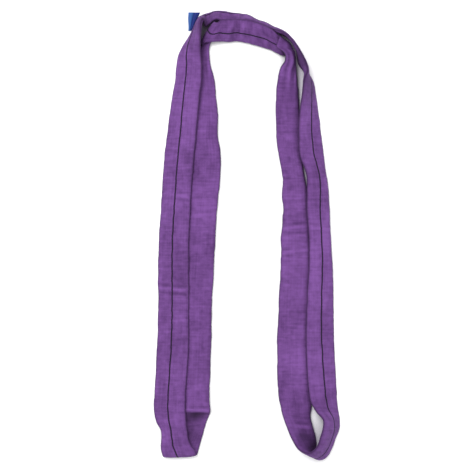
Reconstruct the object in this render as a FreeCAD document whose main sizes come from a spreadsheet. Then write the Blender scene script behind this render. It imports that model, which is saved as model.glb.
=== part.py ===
"""Endless polyester round sling, laid out as a double-run arch.

One continuous loop lies collapsed: two runs side by side make each leg, a front and a
rear strip make the bridge, and a bight closes each leg at its foot.  The woven tubular
sleeve is one closed tube, divided here where the legs swing and fold.  Inside it runs
the load-bearing hank of parallel yarns, tied with tape.  A tracer stripe runs along one
face, and a folded tape label lies at the top left.

Frame: millimetres, +Z up, the sling lying on z = 0, origin at the middle of its footprint.
The legs run along Y with the bridge at +Y; left is -X, and front is towards -Y.
"""
import FreeCAD, Part
import math
import os
import Sketcher
from FreeCAD import Placement, Rotation, Vector

doc = FreeCAD.newDocument("round_sling")

# ------------------------------------------------------------------ driving dimensions
SIZES = [
    ("sleeve_wall", 1.2, "woven sleeve wall"),
    ("edge_wall", 1.5, "sleeve wall at the folded edges"),
    ("edge_power", 3.0, "roundness of the flattened tube at its edges"),
    ("face_power", 2.2, "roundness of the flattened tube on its faces"),
    ("strand_count", 5, "yarn strands drawn in the hank"),
    ("strand_fill", 0.37, "strand half width over strand spacing"),
    ("strand_flat", 0.50, "strand half height over the free half height"),
    ("strand_spread", 0.87, "share of the inside width the strands are spread over"),
    ("stripe_width", 3.6, "tracer stripe width"),
    ("stripe_limit", 0.12, "largest stripe half width over tube half width"),
    ("stripe_thick", 0.30, "tracer stripe thickness"),
    ("stripe_lift", 0.10, "clearance under the tracer stripe"),
    ("rest_flat", 0.62, "height of the flats pressed into the sleeve where it rests"),
    ("flat_margin", 0.6, "extra width of the middle flat beyond the stripe, each side"),
    ("swing_cut_left", 236.0, "y of the left leg swing line"),
    ("swing_cut_right", 212.0, "y of the right leg swing line"),
    ("fold_cut", -38.0, "y of both legs' fold line"),
    ("swing_gap", 1.4, "clearance at a swing line"),
    ("fold_gap", 1.2, "clearance at a fold line"),
    ("tie_length", 14.0, "length of a core tie tape along the hank"),
    ("tie_thick", 0.25, "core tie tape thickness"),
    ("tie_inset", 0.20, "clearance between sleeve and tie"),
    ("seam_share", 0.42, "place of the closing seam along the rear bridge"),
    ("lap_length", 30.0, "length of the tucked sleeve end at the closing seam"),
    ("seam_row_share", 0.32, "seam row distance from the seam over the lap length"),
    ("seam_row_cover", 1.1, "seam row length over the tube's half width"),
    ("seam_lift", 0.5, "height of the seam stitches above the sleeve"),
    ("seam_clear", 0.5, "clearance between seam stitches and stripe"),
    ("stitch_length", 2.2, "stitch length"),
    ("stitch_width", 0.7, "stitch width"),
    ("stitch_height", 0.35, "stitch height"),
    ("stitch_pitch", 3.4, "stitch pitch"),
    ("tag_length", 30.0, "traceability tag length"),
    ("tag_width", 18.0, "traceability tag width"),
    ("tag_thick", 0.25, "traceability tag thickness"),
    ("tag_clear", 0.25, "clearance between tag and sleeve"),
    ("tag_back", 60.0, "tag middle to the left swing line, along the sling"),
    ("label_thick", 0.9, "label tape thickness, folded double"),
    ("label_low", 0.3, "label underside height"),
    ("label_top_run", 17.8, "label top edge length"),
    ("label_foot_run", 5.0, "label bottom edge length"),
    ("label_side", 27.6, "label free side length"),
    ("label_left", -88.0, "x of the label's free side"),
    ("label_foot", 306.8, "y of the label's bottom edge"),
    ("label_stitch_inset", 1.4, "label stitch row to the sewn edge"),
    ("label_stitch_lift", 0.05, "height of the label stitches above the label"),
]
sizes = doc.addObject("Spreadsheet::Sheet", "sizes")
for row, (alias, value, note) in enumerate(SIZES, start=1):
    sizes.set("A%d" % row, str(value))
    sizes.set("B%d" % row, note)
    sizes.setAlias("A%d" % row, alias)

# The lay of the loop, run by run.  One row per station: (x, y, z) of the tube's first folded
# edge, (x, y, z) of its second folded edge, the thickness of the flattened tube there, and
# where the stripe runs between the edges, from -1 at the first to +1 at the second.
LAY = {
    # upper run of the left leg, bottom to top
    "left_over": [
        (-127.73, -324.09, 13.20, -77.29, -321.53, 13.40, 7.00, -0.14),
        (-128.62, -315.74, 13.20, -82.95, -314.19, 13.60, 7.40, -0.17),
        (-127.98, -302.57, 11.00, -87.73, -303.76, 13.50, 8.00, -0.20),
        (-129.59, -290.92, 8.50, -89.51, -290.30, 13.80, 8.00, -0.17),
        (-136.14, -278.19, 6.00, -90.70, -276.85, 14.00, 8.20, -0.10),
        (-139.34, -262.90, 2.33, -92.02, -260.38, 12.13, 8.20, -0.07),
        (-138.90, -241.97, 2.33, -91.58, -239.53, 12.23, 8.20, -0.08),
        (-136.66, -201.54, 2.35, -89.20, -200.77, 12.05, 8.20, -0.07),
        (-134.41, -156.62, 2.35, -87.41, -156.02, 12.05, 8.20, -0.04),
        (-132.61, -99.72, 2.35, -87.11, -99.35, 12.05, 8.20, -0.04),
        (-133.21, -65.29, 2.35, -86.97, -65.04, 12.05, 8.20, -0.04),
        (-131.72, -2.40, 2.34, -86.67, -2.40, 12.04, 8.20, -0.05),
        (-128.72, 44.02, 2.34, -84.73, 43.84, 12.04, 8.20, -0.04),
        (-124.23, 112.89, 2.34, -79.51, 112.44, 12.04, 8.20, -0.04),
        (-121.24, 141.34, 2.13, -77.08, 140.68, 13.63, 8.20, -0.04),
        (-117.19, 171.29, 1.90, -74.19, 170.31, 15.90, 8.20, -0.04),
        (-111.50, 211.71, 1.63, -70.53, 210.21, 19.03, 8.20, -0.07),
        (-107.45, 232.65, 1.51, -67.96, 230.84, 20.71, 8.20, -0.10),
        (-105.50, 253.59, 1.38, -67.33, 251.43, 22.38, 8.20, -0.09),
        (-103.10, 268.56, 1.25, -68.32, 266.06, 24.25, 8.20, -0.12),
        (-96.36, 282.78, 0.88, -69.29, 279.81, 31.00, 8.20, -0.20),
        (-87.98, 294.75, 0.64, -69.54, 292.10, 33.50, 8.20, -0.30),
        (-81.39, 305.98, 0.52, -69.20, 304.43, 35.50, 7.80, -0.38),
        (-77.50, 315.56, 0.47, -68.32, 315.29, 35.00, 7.60, -0.46),
    ],
    # rear strip of the bridge, left to right, standing half on edge
    "bridge_rear": [
        (-72.71, 324.54, 0.44, -65.83, 321.04, 34.00, 7.20, -0.52),
        (-66.42, 330.23, 0.54, -63.28, 317.23, 28.00, 6.60, -0.54),
        (-61.33, 332.63, 0.95, -61.94, 310.76, 16.45, 6.00, -0.54),
        (-55.35, 333.98, 1.13, -57.23, 313.97, 13.63, 6.00, -0.54),
        (-47.86, 335.35, 0.86, -47.09, 320.99, 18.50, 6.80, -0.54),
        (-37.39, 335.98, 1.60, -35.79, 317.96, 13.60, 7.80, -0.54),
        (-22.41, 333.88, 1.50, -21.63, 317.34, 13.70, 7.60, -0.54),
        (-9.24, 331.48, 0.74, -9.27, 320.10, 18.50, 6.60, -0.54),
        (2.29, 328.61, 0.59, 2.64, 319.44, 19.00, 6.00, -0.54),
        (14.26, 322.75, 0.51, 13.95, 316.10, 19.50, 5.60, -0.54),
        (26.69, 318.26, 0.50, 25.55, 311.93, 19.50, 5.40, -0.52),
        (38.97, 311.97, 0.45, 38.00, 307.15, 22.00, 5.40, -0.48),
        (50.94, 303.89, 0.42, 51.64, 301.74, 34.50, 5.60, -0.46),
        (63.82, 294.75, 0.42, 63.63, 292.18, 39.00, 5.40, -0.46),
        (72.80, 283.68, 0.42, 72.60, 281.14, 40.00, 5.40, -0.43),
        (75.79, 270.50, 0.42, 80.57, 268.59, 40.00, 6.20, -0.38),
        (78.19, 258.23, 0.42, 85.92, 257.19, 39.00, 7.60, -0.33),
    ],
    # upper run of the right leg, top to bottom
    "right_over": [
        (86.27, 246.70, 0.42, 89.49, 245.13, 38.50, 7.60, -0.27),
        (97.35, 232.63, 0.52, 84.97, 231.09, 37.00, 8.00, -0.18),
        (102.74, 208.68, 0.71, 81.54, 206.22, 34.00, 8.50, -0.13),
        (105.73, 189.22, 0.98, 78.74, 187.30, 30.00, 9.00, -0.10),
        (108.43, 171.25, 1.47, 77.37, 169.72, 23.47, 9.50, -0.07),
        (111.72, 144.31, 2.06, 76.96, 143.31, 19.06, 10.00, -0.05),
        (115.01, 118.86, 2.55, 78.71, 119.67, 16.55, 10.50, -0.09),
        (117.08, 102.37, 3.03, 85.15, 101.84, 15.53, 11.50, -0.13),
        (119.18, 87.40, 3.34, 89.21, 86.99, 14.84, 12.00, -0.14),
        (121.87, 67.94, 3.38, 89.36, 67.62, 14.88, 12.00, -0.10),
        (123.22, 44.00, 3.41, 89.06, 43.78, 14.91, 12.00, -0.05),
        (125.31, -0.90, 3.29, 92.36, -0.91, 14.29, 11.50, -0.04),
        (127.74, -39.82, 3.12, 92.68, -39.66, 14.12, 11.00, -0.04),
        (129.23, -81.74, 2.68, 90.32, -81.41, 13.18, 9.50, -0.03),
        (130.01, -126.67, 2.46, 88.85, -126.15, 12.86, 8.80, -0.04),
        (130.61, -161.11, 2.36, 88.57, -160.47, 12.46, 8.40, -0.07),
        (132.41, -195.55, 2.36, 89.31, -194.77, 12.46, 8.40, -0.10),
        (134.05, -228.48, 2.13, 91.79, -227.45, 13.53, 8.20, -0.12),
        (135.38, -247.93, 1.68, 94.89, -247.92, 16.88, 8.00, -0.12),
    ],
    # open eye at the foot of the right leg
    "right_eye": [
        (137.17, -264.38, 1.03, 102.20, -261.11, 25.03, 8.00, -0.05),
        (138.67, -277.85, 0.65, 113.05, -273.58, 37.00, 8.00, -0.03),
        (138.22, -289.82, 0.66, 112.01, -285.79, 40.00, 8.00, -0.16),
        (132.68, -303.30, 0.63, 108.42, -298.22, 41.00, 8.00, -0.27),
        (127.29, -318.27, 0.62, 104.56, -309.96, 41.50, 8.00, -0.22),
        (119.80, -330.99, 0.62, 98.93, -317.27, 42.00, 8.00, -0.14),
        (111.72, -335.63, 0.52, 92.14, -321.25, 42.00, 7.60, -0.13),
        (105.43, -331.74, 0.42, 84.49, -320.43, 41.50, 7.40, -0.13),
        (103.04, -322.76, 0.58, 75.74, -315.73, 39.00, 7.40, -0.11),
        (103.64, -312.28, 0.75, 68.52, -305.72, 34.00, 7.60, -0.10),
        (102.44, -300.30, 1.12, 62.23, -293.22, 23.12, 7.80, -0.10),
        (98.70, -286.83, 1.63, 57.69, -282.14, 16.63, 8.00, -0.10),
    ],
    # lower run of the right leg, bottom to top
    "right_under": [
        (95.26, -273.38, 2.36, 52.79, -268.50, 11.56, 8.20, -0.10),
        (97.37, -252.44, 3.41, 48.62, -247.61, 6.81, 8.20, -0.10),
        (94.39, -231.51, 4.19, 46.30, -228.45, 4.99, 8.20, -0.10),
        (92.29, -195.57, 4.38, 45.26, -195.55, 4.68, 8.20, -0.10),
        (91.39, -161.13, 4.38, 45.11, -161.11, 4.68, 8.20, -0.10),
        (92.89, -104.23, 4.34, 47.36, -104.21, 4.74, 8.20, -0.10),
        (94.39, -59.30, 4.26, 49.60, -59.29, 4.86, 8.20, -0.10),
        (95.14, -24.86, 4.29, 51.09, -24.85, 5.09, 8.40, -0.10),
        (94.39, -2.40, 4.29, 50.79, -2.40, 5.09, 8.40, -0.10),
        (92.89, 24.55, 4.29, 53.49, 24.55, 5.09, 8.40, -0.10),
        (91.39, 45.52, 4.29, 53.79, 45.50, 5.09, 8.40, -0.10),
        (90.65, 57.50, 4.29, 52.29, 57.48, 5.09, 8.40, -0.10),
        (88.39, 76.96, 4.39, 53.63, 76.93, 5.19, 8.60, -0.10),
        (85.39, 94.92, 4.45, 52.13, 94.89, 5.35, 8.80, -0.10),
        (83.14, 112.89, 4.51, 48.83, 112.84, 5.51, 9.00, -0.10),
        (81.64, 136.83, 4.54, 44.93, 136.77, 5.74, 9.20, -0.10),
        (79.38, 171.25, 4.52, 43.42, 171.15, 6.02, 9.40, -0.10),
        (77.14, 207.18, 4.34, 43.39, 206.93, 7.34, 10.00, -0.10),
        (74.81, 232.42, 7.20, 45.98, 231.97, 12.00, 10.00, -0.10),
        (73.54, 248.64, 9.50, 50.05, 249.48, 16.00, 10.50, -0.10),
        (72.81, 260.23, 13.00, 56.78, 260.92, 20.50, 10.50, -0.10),
    ],
    # folded right corner, front strip of the bridge, folded left corner
    "bridge_front": [
        (72.28, 267.42, 15.50, 56.37, 269.71, 24.50, 9.00, -0.10),
        (71.46, 273.16, 17.50, 50.90, 274.85, 29.00, 7.80, -0.10),
        (68.72, 277.11, 19.40, 43.40, 279.19, 32.50, 6.80, -0.10),
        (66.78, 280.37, 19.60, 44.85, 286.42, 34.00, 6.40, -0.10),
        (65.95, 282.08, 17.60, 47.26, 291.66, 32.20, 5.80, -0.10),
        (65.95, 282.61, 13.00, 48.26, 294.24, 28.00, 5.80, -0.10),
        (65.78, 280.68, 9.00, 47.75, 295.84, 24.60, 6.20, -0.10),
        (62.59, 274.43, 6.00, 44.51, 299.55, 23.40, 6.60, -0.11),
        (54.69, 268.88, 4.80, 38.54, 305.06, 24.50, 7.00, -0.11),
        (44.96, 272.77, 4.80, 32.28, 308.73, 26.00, 7.20, -0.10),
        (35.23, 277.56, 4.80, 25.73, 312.17, 27.00, 7.50, -0.08),
        (24.00, 280.71, 4.80, 18.90, 314.92, 27.50, 7.60, -0.08),
        (12.02, 284.15, 4.80, 9.10, 317.67, 28.00, 7.60, -0.10),
        (0.04, 287.44, 4.80, -1.28, 319.60, 28.00, 7.60, -0.10),
        (-13.43, 289.84, 4.80, -13.44, 320.94, 28.00, 7.60, -0.12),
        (-26.90, 289.17, 5.40, -24.57, 320.64, 28.00, 7.60, -0.13),
        (-38.85, 289.70, 8.50, -34.50, 319.97, 28.60, 7.60, -0.10),
        (-49.85, 288.95, 12.40, -38.05, 319.30, 29.20, 7.00, -0.10),
        (-57.59, 288.01, 14.00, -40.72, 318.11, 29.20, 6.40, -0.14),
        (-63.54, 287.06, 14.50, -43.40, 316.73, 28.40, 6.20, -0.06),
        (-67.30, 287.21, 13.20, -46.09, 316.84, 26.40, 6.00, 0.08),
        (-68.86, 287.76, 9.80, -47.34, 318.01, 22.00, 6.00, 0.20),
        (-68.04, 286.97, 6.30, -46.51, 316.42, 17.00, 6.20, 0.20),
        (-67.92, 285.17, 5.00, -47.31, 310.96, 13.00, 6.60, 0.20),
        (-69.42, 282.36, 2.44, -50.79, 301.85, 7.14, 7.00, 0.20),
        (-71.82, 277.87, 3.34, -53.97, 290.78, 5.64, 7.60, 0.20),
        (-74.51, 271.28, 4.02, -56.23, 280.43, 5.22, 8.20, 0.15),
    ],
    # lower run of the left leg, top to bottom
    "left_under": [
        (-78.11, 261.09, 4.39, -55.93, 267.89, 5.19, 8.60, -0.04),
        (-81.40, 248.52, 4.56, -53.54, 252.65, 5.16, 8.80, -0.10),
        (-83.79, 235.04, 4.56, -49.50, 236.48, 5.16, 8.80, -0.10),
        (-84.70, 211.71, 4.54, -46.51, 211.67, 4.94, 8.60, -0.10),
        (-84.40, 171.29, 4.52, -43.08, 171.28, 4.72, 8.40, -0.10),
        (-86.05, 147.34, 4.52, -43.67, 148.82, 4.72, 8.40, -0.10),
        (-84.56, 127.88, 4.47, -39.93, 129.37, 4.57, 8.20, -0.10),
        (-86.06, 81.46, 4.42, -40.53, 81.45, 4.62, 8.20, -0.10),
        (-89.80, 44.02, 4.42, -44.42, 44.02, 4.62, 8.20, -0.10),
        (-92.80, -2.40, 4.42, -47.27, -2.40, 4.62, 8.20, -0.10),
        (-95.79, -51.82, 4.42, -49.52, -51.81, 4.62, 8.20, -0.10),
        (-98.49, -104.23, 4.42, -52.81, -104.22, 4.62, 8.20, -0.10),
        (-99.38, -161.13, 4.42, -53.41, -161.12, 4.62, 8.20, -0.10),
        (-100.88, -206.06, 4.42, -55.21, -206.04, 4.62, 8.20, -0.10),
        (-101.78, -236.01, 3.85, -56.23, -235.84, 5.65, 8.20, -0.10),
        (-101.78, -249.48, 3.10, -55.74, -249.65, 7.50, 8.00, -0.10),
        (-102.08, -256.97, 2.40, -54.81, -257.81, 8.80, 7.20, -0.10),
        (-102.54, -262.09, 2.08, -54.84, -263.68, 6.98, 6.00, -0.10),
        (-103.31, -265.44, 2.22, -55.64, -267.03, 4.22, 5.00, -0.10),
        (-104.82, -269.84, 2.55, -57.02, -270.85, 2.95, 4.60, -0.10),
        (-107.52, -277.33, 2.72, -59.28, -276.88, 2.72, 4.60, -0.10),
        (-110.36, -286.30, 3.02, -61.97, -285.25, 3.02, 5.20, -0.10),
        (-116.04, -301.98, 3.42, -66.45, -300.48, 3.42, 6.00, -0.10),
        (-120.67, -312.45, 3.52, -69.45, -310.36, 3.52, 6.20, -0.10),
        (-123.06, -319.92, 3.62, -71.54, -317.52, 3.62, 6.40, -0.10),
        (-124.25, -325.88, 3.76, -73.33, -323.49, 3.76, 6.80, -0.10),
    ],
    # flat bight at the foot of the left leg
    "left_bight": [
        (-124.94, -329.16, 5.30, -74.20, -326.46, 5.30, 6.60, -0.10),
        (-125.55, -330.22, 8.60, -74.87, -327.51, 8.70, 6.60, -0.10),
        (-126.59, -328.29, 11.90, -75.98, -325.58, 12.10, 6.60, -0.12),
    ],
}
COLUMNS = ["first_x", "first_y", "first_z", "second_x", "second_y", "second_z", "thick", "stripe"]

lay = doc.addObject("Spreadsheet::Sheet", "lay")
ROWS = [row for rows in LAY.values() for row in rows]
COUNT = len(ROWS)
for number, row in enumerate(ROWS, start=1):
    for letter, word, value in zip("ABCDEFGH", COLUMNS, row):
        lay.set("%s%d" % (letter, number), str(value))
        lay.setAlias("%s%d" % (letter, number), "%s_station_%03d" % (word, number))
doc.recompute()


def size(alias):
    return float(getattr(sizes, alias))


def column(word):
    """One column of the lay, station by station."""
    return [float(getattr(lay, "%s_station_%03d" % (word, i))) for i in range(1, COUNT + 1)]


# ------------------------------------------------------------------ the laid surface
FIRST = [Vector(*point) for point in zip(*map(column, COLUMNS[0:3]))]
SECOND = [Vector(*point) for point in zip(*map(column, COLUMNS[3:6]))]
THICK = column("thick")
SHARE = column("stripe")

SHORTEST_STEP = 2.0  # least distance counted between two stations
LEAN_REACH = 1.5     # spacing of the places that the face direction is taken from
LEAN_WEIGHTS = ((-2, 1), (-1, 2), (0, 3), (1, 2), (2, 1))

# STEP is the distance from each station to the next, PLACE its distance along the loop
STEP = []
for i in range(COUNT):
    j = (i + 1) % COUNT
    travel = FIRST[i].distanceToPoint(FIRST[j]) + SECOND[i].distanceToPoint(SECOND[j])
    STEP.append(max(SHORTEST_STEP, 0.5 * travel))
PLACE = [0.0]
for step in STEP:
    PLACE.append(PLACE[-1] + step)
LENGTH = PLACE[-1]


def hermite(values, i, part):
    """Smooth closed interpolation, a part of the way from station i to i + 1."""
    before, start, end, after = (values[(i + k) % COUNT] for k in (-1, 0, 1, 2))
    gap0, gap1, gap2 = STEP[(i - 1) % COUNT], STEP[i % COUNT], STEP[(i + 1) % COUNT]
    slope1 = ((start - before) * (gap1 / gap0) + (end - start) * (gap0 / gap1)) * (
        1.0 / (gap0 + gap1))
    slope2 = ((end - start) * (gap2 / gap1) + (after - end) * (gap1 / gap2)) * (
        1.0 / (gap1 + gap2))
    square, cube = part * part, part * part * part
    return (start * (2 * cube - 3 * square + 1) + slope1 * (gap1 * (cube - 2 * square + part))
            + end * (3 * square - 2 * cube) + slope2 * (gap1 * (cube - square)))


def station(s):
    """The station before place s and what part of the step beyond it s lies at."""
    low, high = 0, COUNT - 1
    while low < high:
        middle = (low + high + 1) // 2
        if PLACE[middle] <= s:
            low = middle
        else:
            high = middle - 1
    return low, (s - PLACE[low]) / STEP[low]


def at(s):
    """First edge, second edge and thickness at place s."""
    i, part = station(s % LENGTH)
    return hermite(FIRST, i, part), hermite(SECOND, i, part), hermite(THICK, i, part)


def stripe_at(s):
    """Where the stripe runs across the striped face at s, from -1 to +1."""
    return hermite(SHARE, *station(s % LENGTH))


def lean(s):
    """Raw striped-face direction at s, from the ruling and the two edges' travel."""
    first, second, _ = at(s)
    behind = at(s - LEAN_REACH)
    ahead = at(s + LEAN_REACH)
    travels = [ahead[k] - behind[k] for k in (0, 1)]
    for travel in travels:
        if travel.Length > 1e-6:
            travel.normalize()
    face = (second - first).cross(travels[0] + travels[1])
    face.normalize()
    return face


CACHE = {}


def frame(s):
    """Centre, width direction, striped-face direction, half width and half thickness at s."""
    key = round(s % LENGTH, 4)
    if key not in CACHE:
        first, second, thick = at(s)
        wide = second - first
        half = wide.Length / 2
        wide.normalize()
        face = Vector(0, 0, 0)
        for k, weight in LEAN_WEIGHTS:
            face = face + lean(s + LEAN_REACH * k) * weight
        face = face - wide * face.dot(wide)
        face.normalize()
        CACHE[key] = ((first + second) * 0.5, wide, face, half, thick / 2)
    return CACHE[key]


# ------------------------------------------------------------------ sections and skins
EDGE_WALL, SLEEVE_WALL = size("edge_wall"), size("sleeve_wall")
EDGE_POWER, FACE_POWER = size("edge_power"), size("face_power")
RING_POINTS = 20     # points round a tube section
DENSE_POINTS = 720   # points round a section that is cut at a level
ARC_PARTS = 18       # parts of the arc left above that level
STRAND_POINTS = 8    # points round a yarn strand
SEW_TOLERANCE = 1e-5


def rise(x, half, thick):
    """Height of the flattened tube's face above its middle, x from the centre."""
    return thick * max(0.0, 1 - abs(x / half) ** EDGE_POWER) ** (1 / FACE_POWER)


def profile(s, count, edge_in, face_in):
    """Points of the flattened tube's outline at s, drawn in by edge_in and face_in."""
    centre, wide, face, half, thick = frame(s)
    points = []
    for k in range(count):
        angle = 2 * math.pi * k / count
        cosine, sine = math.cos(angle), math.sin(angle)
        x = math.copysign(abs(cosine) ** (2.0 / EDGE_POWER), cosine) * (half - edge_in)
        y = math.copysign(abs(sine) ** (2.0 / FACE_POWER), sine) * (thick - face_in)
        points.append(centre + wide * x + face * y)
    return points


def ring(points):
    """Closed smooth wire through the points."""
    curve = Part.BSplineCurve()
    parameters = [float(i) for i in range(len(points) + 1)]
    curve.interpolate(Points=points, Parameters=parameters, PeriodicFlag=True)
    return Part.Wire([curve.toShape()])


def skin(wires):
    """Ruled faces from each section to the next."""
    faces = []
    for wire, following in zip(wires, wires[1:]):
        for edge, other in zip(wire.Edges, following.Edges):
            faces += Part.makeRuledSurface(edge, other).Faces
    return faces


def closed(faces):
    """Solid sewn from faces that close on themselves."""
    shell = Part.makeCompound(faces)
    shell.sewShape(SEW_TOLERANCE)
    if len(shell.Shells) != 1 or not shell.Shells[0].isClosed():
        raise ValueError("a skin is not closed: %d shells" % len(shell.Shells))
    body = Part.Solid(shell.Shells[0])
    if body.Volume < 0:
        body.reverse()
    return body


def loft(wires):
    return closed(skin(wires) + [Part.Face(wires[k]) for k in (0, -1)])


def end_rings(outer, inner):
    """Ring-shaped faces that close both ends of a hollow skin."""
    faces = []
    for k in (0, -1):
        faces += Part.makeFace([outer[k], inner[k]], "Part::FaceMakerBullseye").Faces
    return faces


def tube(stops, inset, edge_wall, face_wall):
    """Open-ended tube: drawn in by inset (edge, face), with its own two wall thicknesses."""
    edge_out, face_out = inset
    outer = [ring(profile(s, RING_POINTS, edge_out, face_out)) for s in stops]
    inner = [ring(profile(s, RING_POINTS, edge_out + edge_wall, face_out + face_wall))
             for s in stops]
    return closed(skin(outer) + skin(inner) + end_rings(outer, inner))


def stripe_edges(s, half, margin=0.0):
    """Both sides of the stripe, from the tube's centre, widened by margin."""
    reach = min(size("stripe_width") / 2, size("stripe_limit") * half) + margin
    middle = stripe_at(s) * half
    return middle - reach, middle + reach


def rested_section(s, level):
    """The outline at s cut off at level: the arc above it and the four points of the flat."""
    dense = profile(s, DENSE_POINTS, 0.0, 0.0)
    below = [point.z < level for point in dense]
    if not any(below):
        raise ValueError("the run is off the ground at %.1f" % s)
    turns = range(DENSE_POINTS)
    start = [k for k in turns if below[k] and not below[k - 1]][0]
    end = [k for k in turns if below[k] and not below[(k + 1) % DENSE_POINTS]][0]

    def cross(i, j):
        p, q = dense[i % DENSE_POINTS], dense[j % DENSE_POINTS]
        return p + (q - p) * ((level - p.z) / (q.z - p.z))

    first, last = cross(end, end + 1), cross(start - 1, start)
    span = (start - end - 2) % DENSE_POINTS
    points = [first]
    for k in range(1, ARC_PARTS):
        points.append(dense[(end + 1 + int(round(span * k / float(ARC_PARTS)))) % DENSE_POINTS])
    points.append(last)
    curve = Part.BSplineCurve()
    curve.interpolate(Points=points, Parameters=[float(k) for k in range(len(points))])

    centre, wide, _, half, _ = frame(s)
    x_last, x_first = (last - centre).dot(wide), (first - centre).dot(wide)
    marks = [last]
    for x in sorted(stripe_edges(s, half, size("flat_margin")), reverse=x_first < x_last):
        marks.append(last + (first - last) * ((x - x_last) / (x_first - x_last)))
    return curve.toShape(), marks + [first]


def rested_tube(stops, level):
    """The sleeve of a run that lies on the ground, its underside pressed flat at level."""
    sections = [rested_section(s, level) for s in stops]
    inner = [ring(profile(s, RING_POINTS, EDGE_WALL, SLEEVE_WALL)) for s in stops]
    faces = skin(inner)
    for (arc, here), (next_arc, there) in zip(sections, sections[1:]):
        faces += Part.makeRuledSurface(arc, next_arc).Faces
        for j in range(3):
            corners = [here[j], here[j + 1], there[j + 1], there[j], here[j]]
            faces.append(Part.Face(Part.makePolygon(corners)))
    outlines = []
    for arc, marks in (sections[0], sections[-1]):
        flat = [Part.makeLine(p, q) for p, q in zip(marks, marks[1:])]
        outlines.append(Part.Wire([arc] + flat))
    return closed(faces + end_rings(outlines, inner))


def rod(stops, offset, half_share, flat_share):
    """One elliptic yarn strand, offset from the centre by a share of the inside half width."""
    wires = []
    for s in stops:
        centre, wide, face, half, thick = frame(s)
        inside = half - EDGE_WALL
        x = offset * inside
        reach = 2 * inside * half_share
        height = rise(x, inside, thick - SLEEVE_WALL) * flat_share
        points = []
        for k in range(STRAND_POINTS):
            angle = 2 * math.pi * k / STRAND_POINTS
            points.append(centre + wide * (x + math.cos(angle) * reach)
                          + face * (math.sin(angle) * height))
        wires.append(ring(points))
    return loft(wires)


def strip(stops, edges, low, high, side=1.0, inset=(0.0, 0.0)):
    """A flat strip that follows the tube.

    edges(s, half) gives its two sides from the centre; low and high are heights above the
    skin, which is drawn in by inset (edge, face).
    """
    wires = []
    for s in stops:
        centre, wide, face, half, thick = frame(s)
        left, right = edges(s, half)
        middle = (left + right) / 2
        points = []
        for x, lift in ((left, low), (middle, low), (right, low),
                        (right, high), (middle, high), (left, high)):
            y = rise(x, half - inset[0], thick - inset[1])
            points.append(centre + wide * x + face * (side * (y + lift)))
        wires.append(Part.makePolygon(points + [points[0]]))
    return loft(wires)


# ------------------------------------------------------------------ where the loop is divided
LONGEST_STOP = 15.0   # most distance between two sections
TURN_STOP = 11.0      # degrees of bend that call for a section
SHORTEST_STOP = 2.0   # least distance between two sections
SHORTEST_END = 1.5    # a section closer than this to the end is dropped
RUN_OVERLAP = 30.0    # how far beyond a run's stations a crossing is looked for
RUN_MARGIN = 15.0     # ends of that search where a crossing does not count


def between(s0, s1):
    """Section places from s0 to s1, closer together where the sling bends."""
    count = max(4, int(s1 - s0))
    stops, last = [s0], frame(s0)
    for i in range(1, count):
        s = s0 + (s1 - s0) * i / count
        here = frame(s)
        bend = math.degrees(max(here[2].getAngle(last[2]), here[1].getAngle(last[1])))
        gap = s - stops[-1]
        if gap >= LONGEST_STOP or (bend >= TURN_STOP and gap >= SHORTEST_STOP):
            stops.append(s)
            last = here
    if s1 - stops[-1] < SHORTEST_END and len(stops) > 1:
        stops.pop()
    return stops + [s1]


def crossing(run, y):
    """Place along the loop where the centre of a run crosses y."""
    names = list(LAY)
    start = sum(len(LAY[name]) for name in names[:names.index(run)])
    low = PLACE[start] - RUN_OVERLAP
    high = PLACE[start + len(LAY[run]) - 1] + RUN_OVERLAP
    count = int(high - low)
    previous = None
    for i in range(count + 1):
        s = low + (high - low) * i / count
        here = frame(s)[0].y - y
        if (previous is not None and previous * here <= 0
                and low + RUN_MARGIN < s < high - RUN_MARGIN):
            share = abs(here) / max(1e-6, abs(here) + abs(previous))
            return s - share * (high - low) / count
        previous = here
    raise ValueError("no crossing on %s" % run)


SWING, FOLD = {}, {}
for leg in ("left", "right"):
    for layer in ("_over", "_under"):
        SWING[leg + layer] = crossing(leg + layer, size("swing_cut_" + leg))
        FOLD[leg + layer] = crossing(leg + layer, size("fold_cut"))
swing_half, fold_half = size("swing_gap") / 2, size("fold_gap") / 2

SPANS = {
    "left_over": (FOLD["left_over"] + fold_half, SWING["left_over"] - swing_half),
    "bridge_rear": (SWING["left_over"] + swing_half, SWING["right_over"] - swing_half),
    "right_over": (SWING["right_over"] + swing_half, FOLD["right_over"] - fold_half),
    "right_eye": (FOLD["right_over"] + fold_half, FOLD["right_under"] - fold_half),
    "right_under": (FOLD["right_under"] + fold_half, SWING["right_under"] - swing_half),
    "bridge_front": (SWING["right_under"] + swing_half, SWING["left_under"] - swing_half),
    "left_under": (SWING["left_under"] + swing_half, FOLD["left_under"] - fold_half),
    "left_bight": (FOLD["left_under"] + fold_half, FOLD["left_over"] - fold_half + LENGTH),
}

# core ties: the part they are in and their place along it
TIES = {
    "bridge_front": 0.42,
    "right_over": 0.5,
    "left_under": 0.5,
    "right_eye": 0.82,
    "left_bight": 0.86,
}


def along(name, share):
    s0, s1 = SPANS[name]
    return s0 + (s1 - s0) * share


def extent(name, middle, length):
    return name, middle - length / 2, middle + length / 2


# pieces with sections of their own at both ends: the ties, the lap and the tag
SPOTS = {"core_tie_" + name: extent(name, along(name, share), size("tie_length"))
         for name, share in TIES.items()}
seam = along("bridge_rear", size("seam_share"))
SPOTS["sleeve_lap"] = extent("bridge_rear", seam, size("lap_length"))
SPOTS["traceability_tag"] = extent(
    "left_over", SPANS["left_over"][1] - size("tag_back"), size("tag_length"))

STOPS = {}
for name, span in SPANS.items():
    fixed = [s for part, s0, s1 in SPOTS.values() if part == name for s in (s0, s1)]
    kept = [s for s in between(*span) if all(abs(s - end) > SHORTEST_STOP for end in fixed)]
    STOPS[name] = sorted(set(kept + fixed + list(span)))


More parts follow.
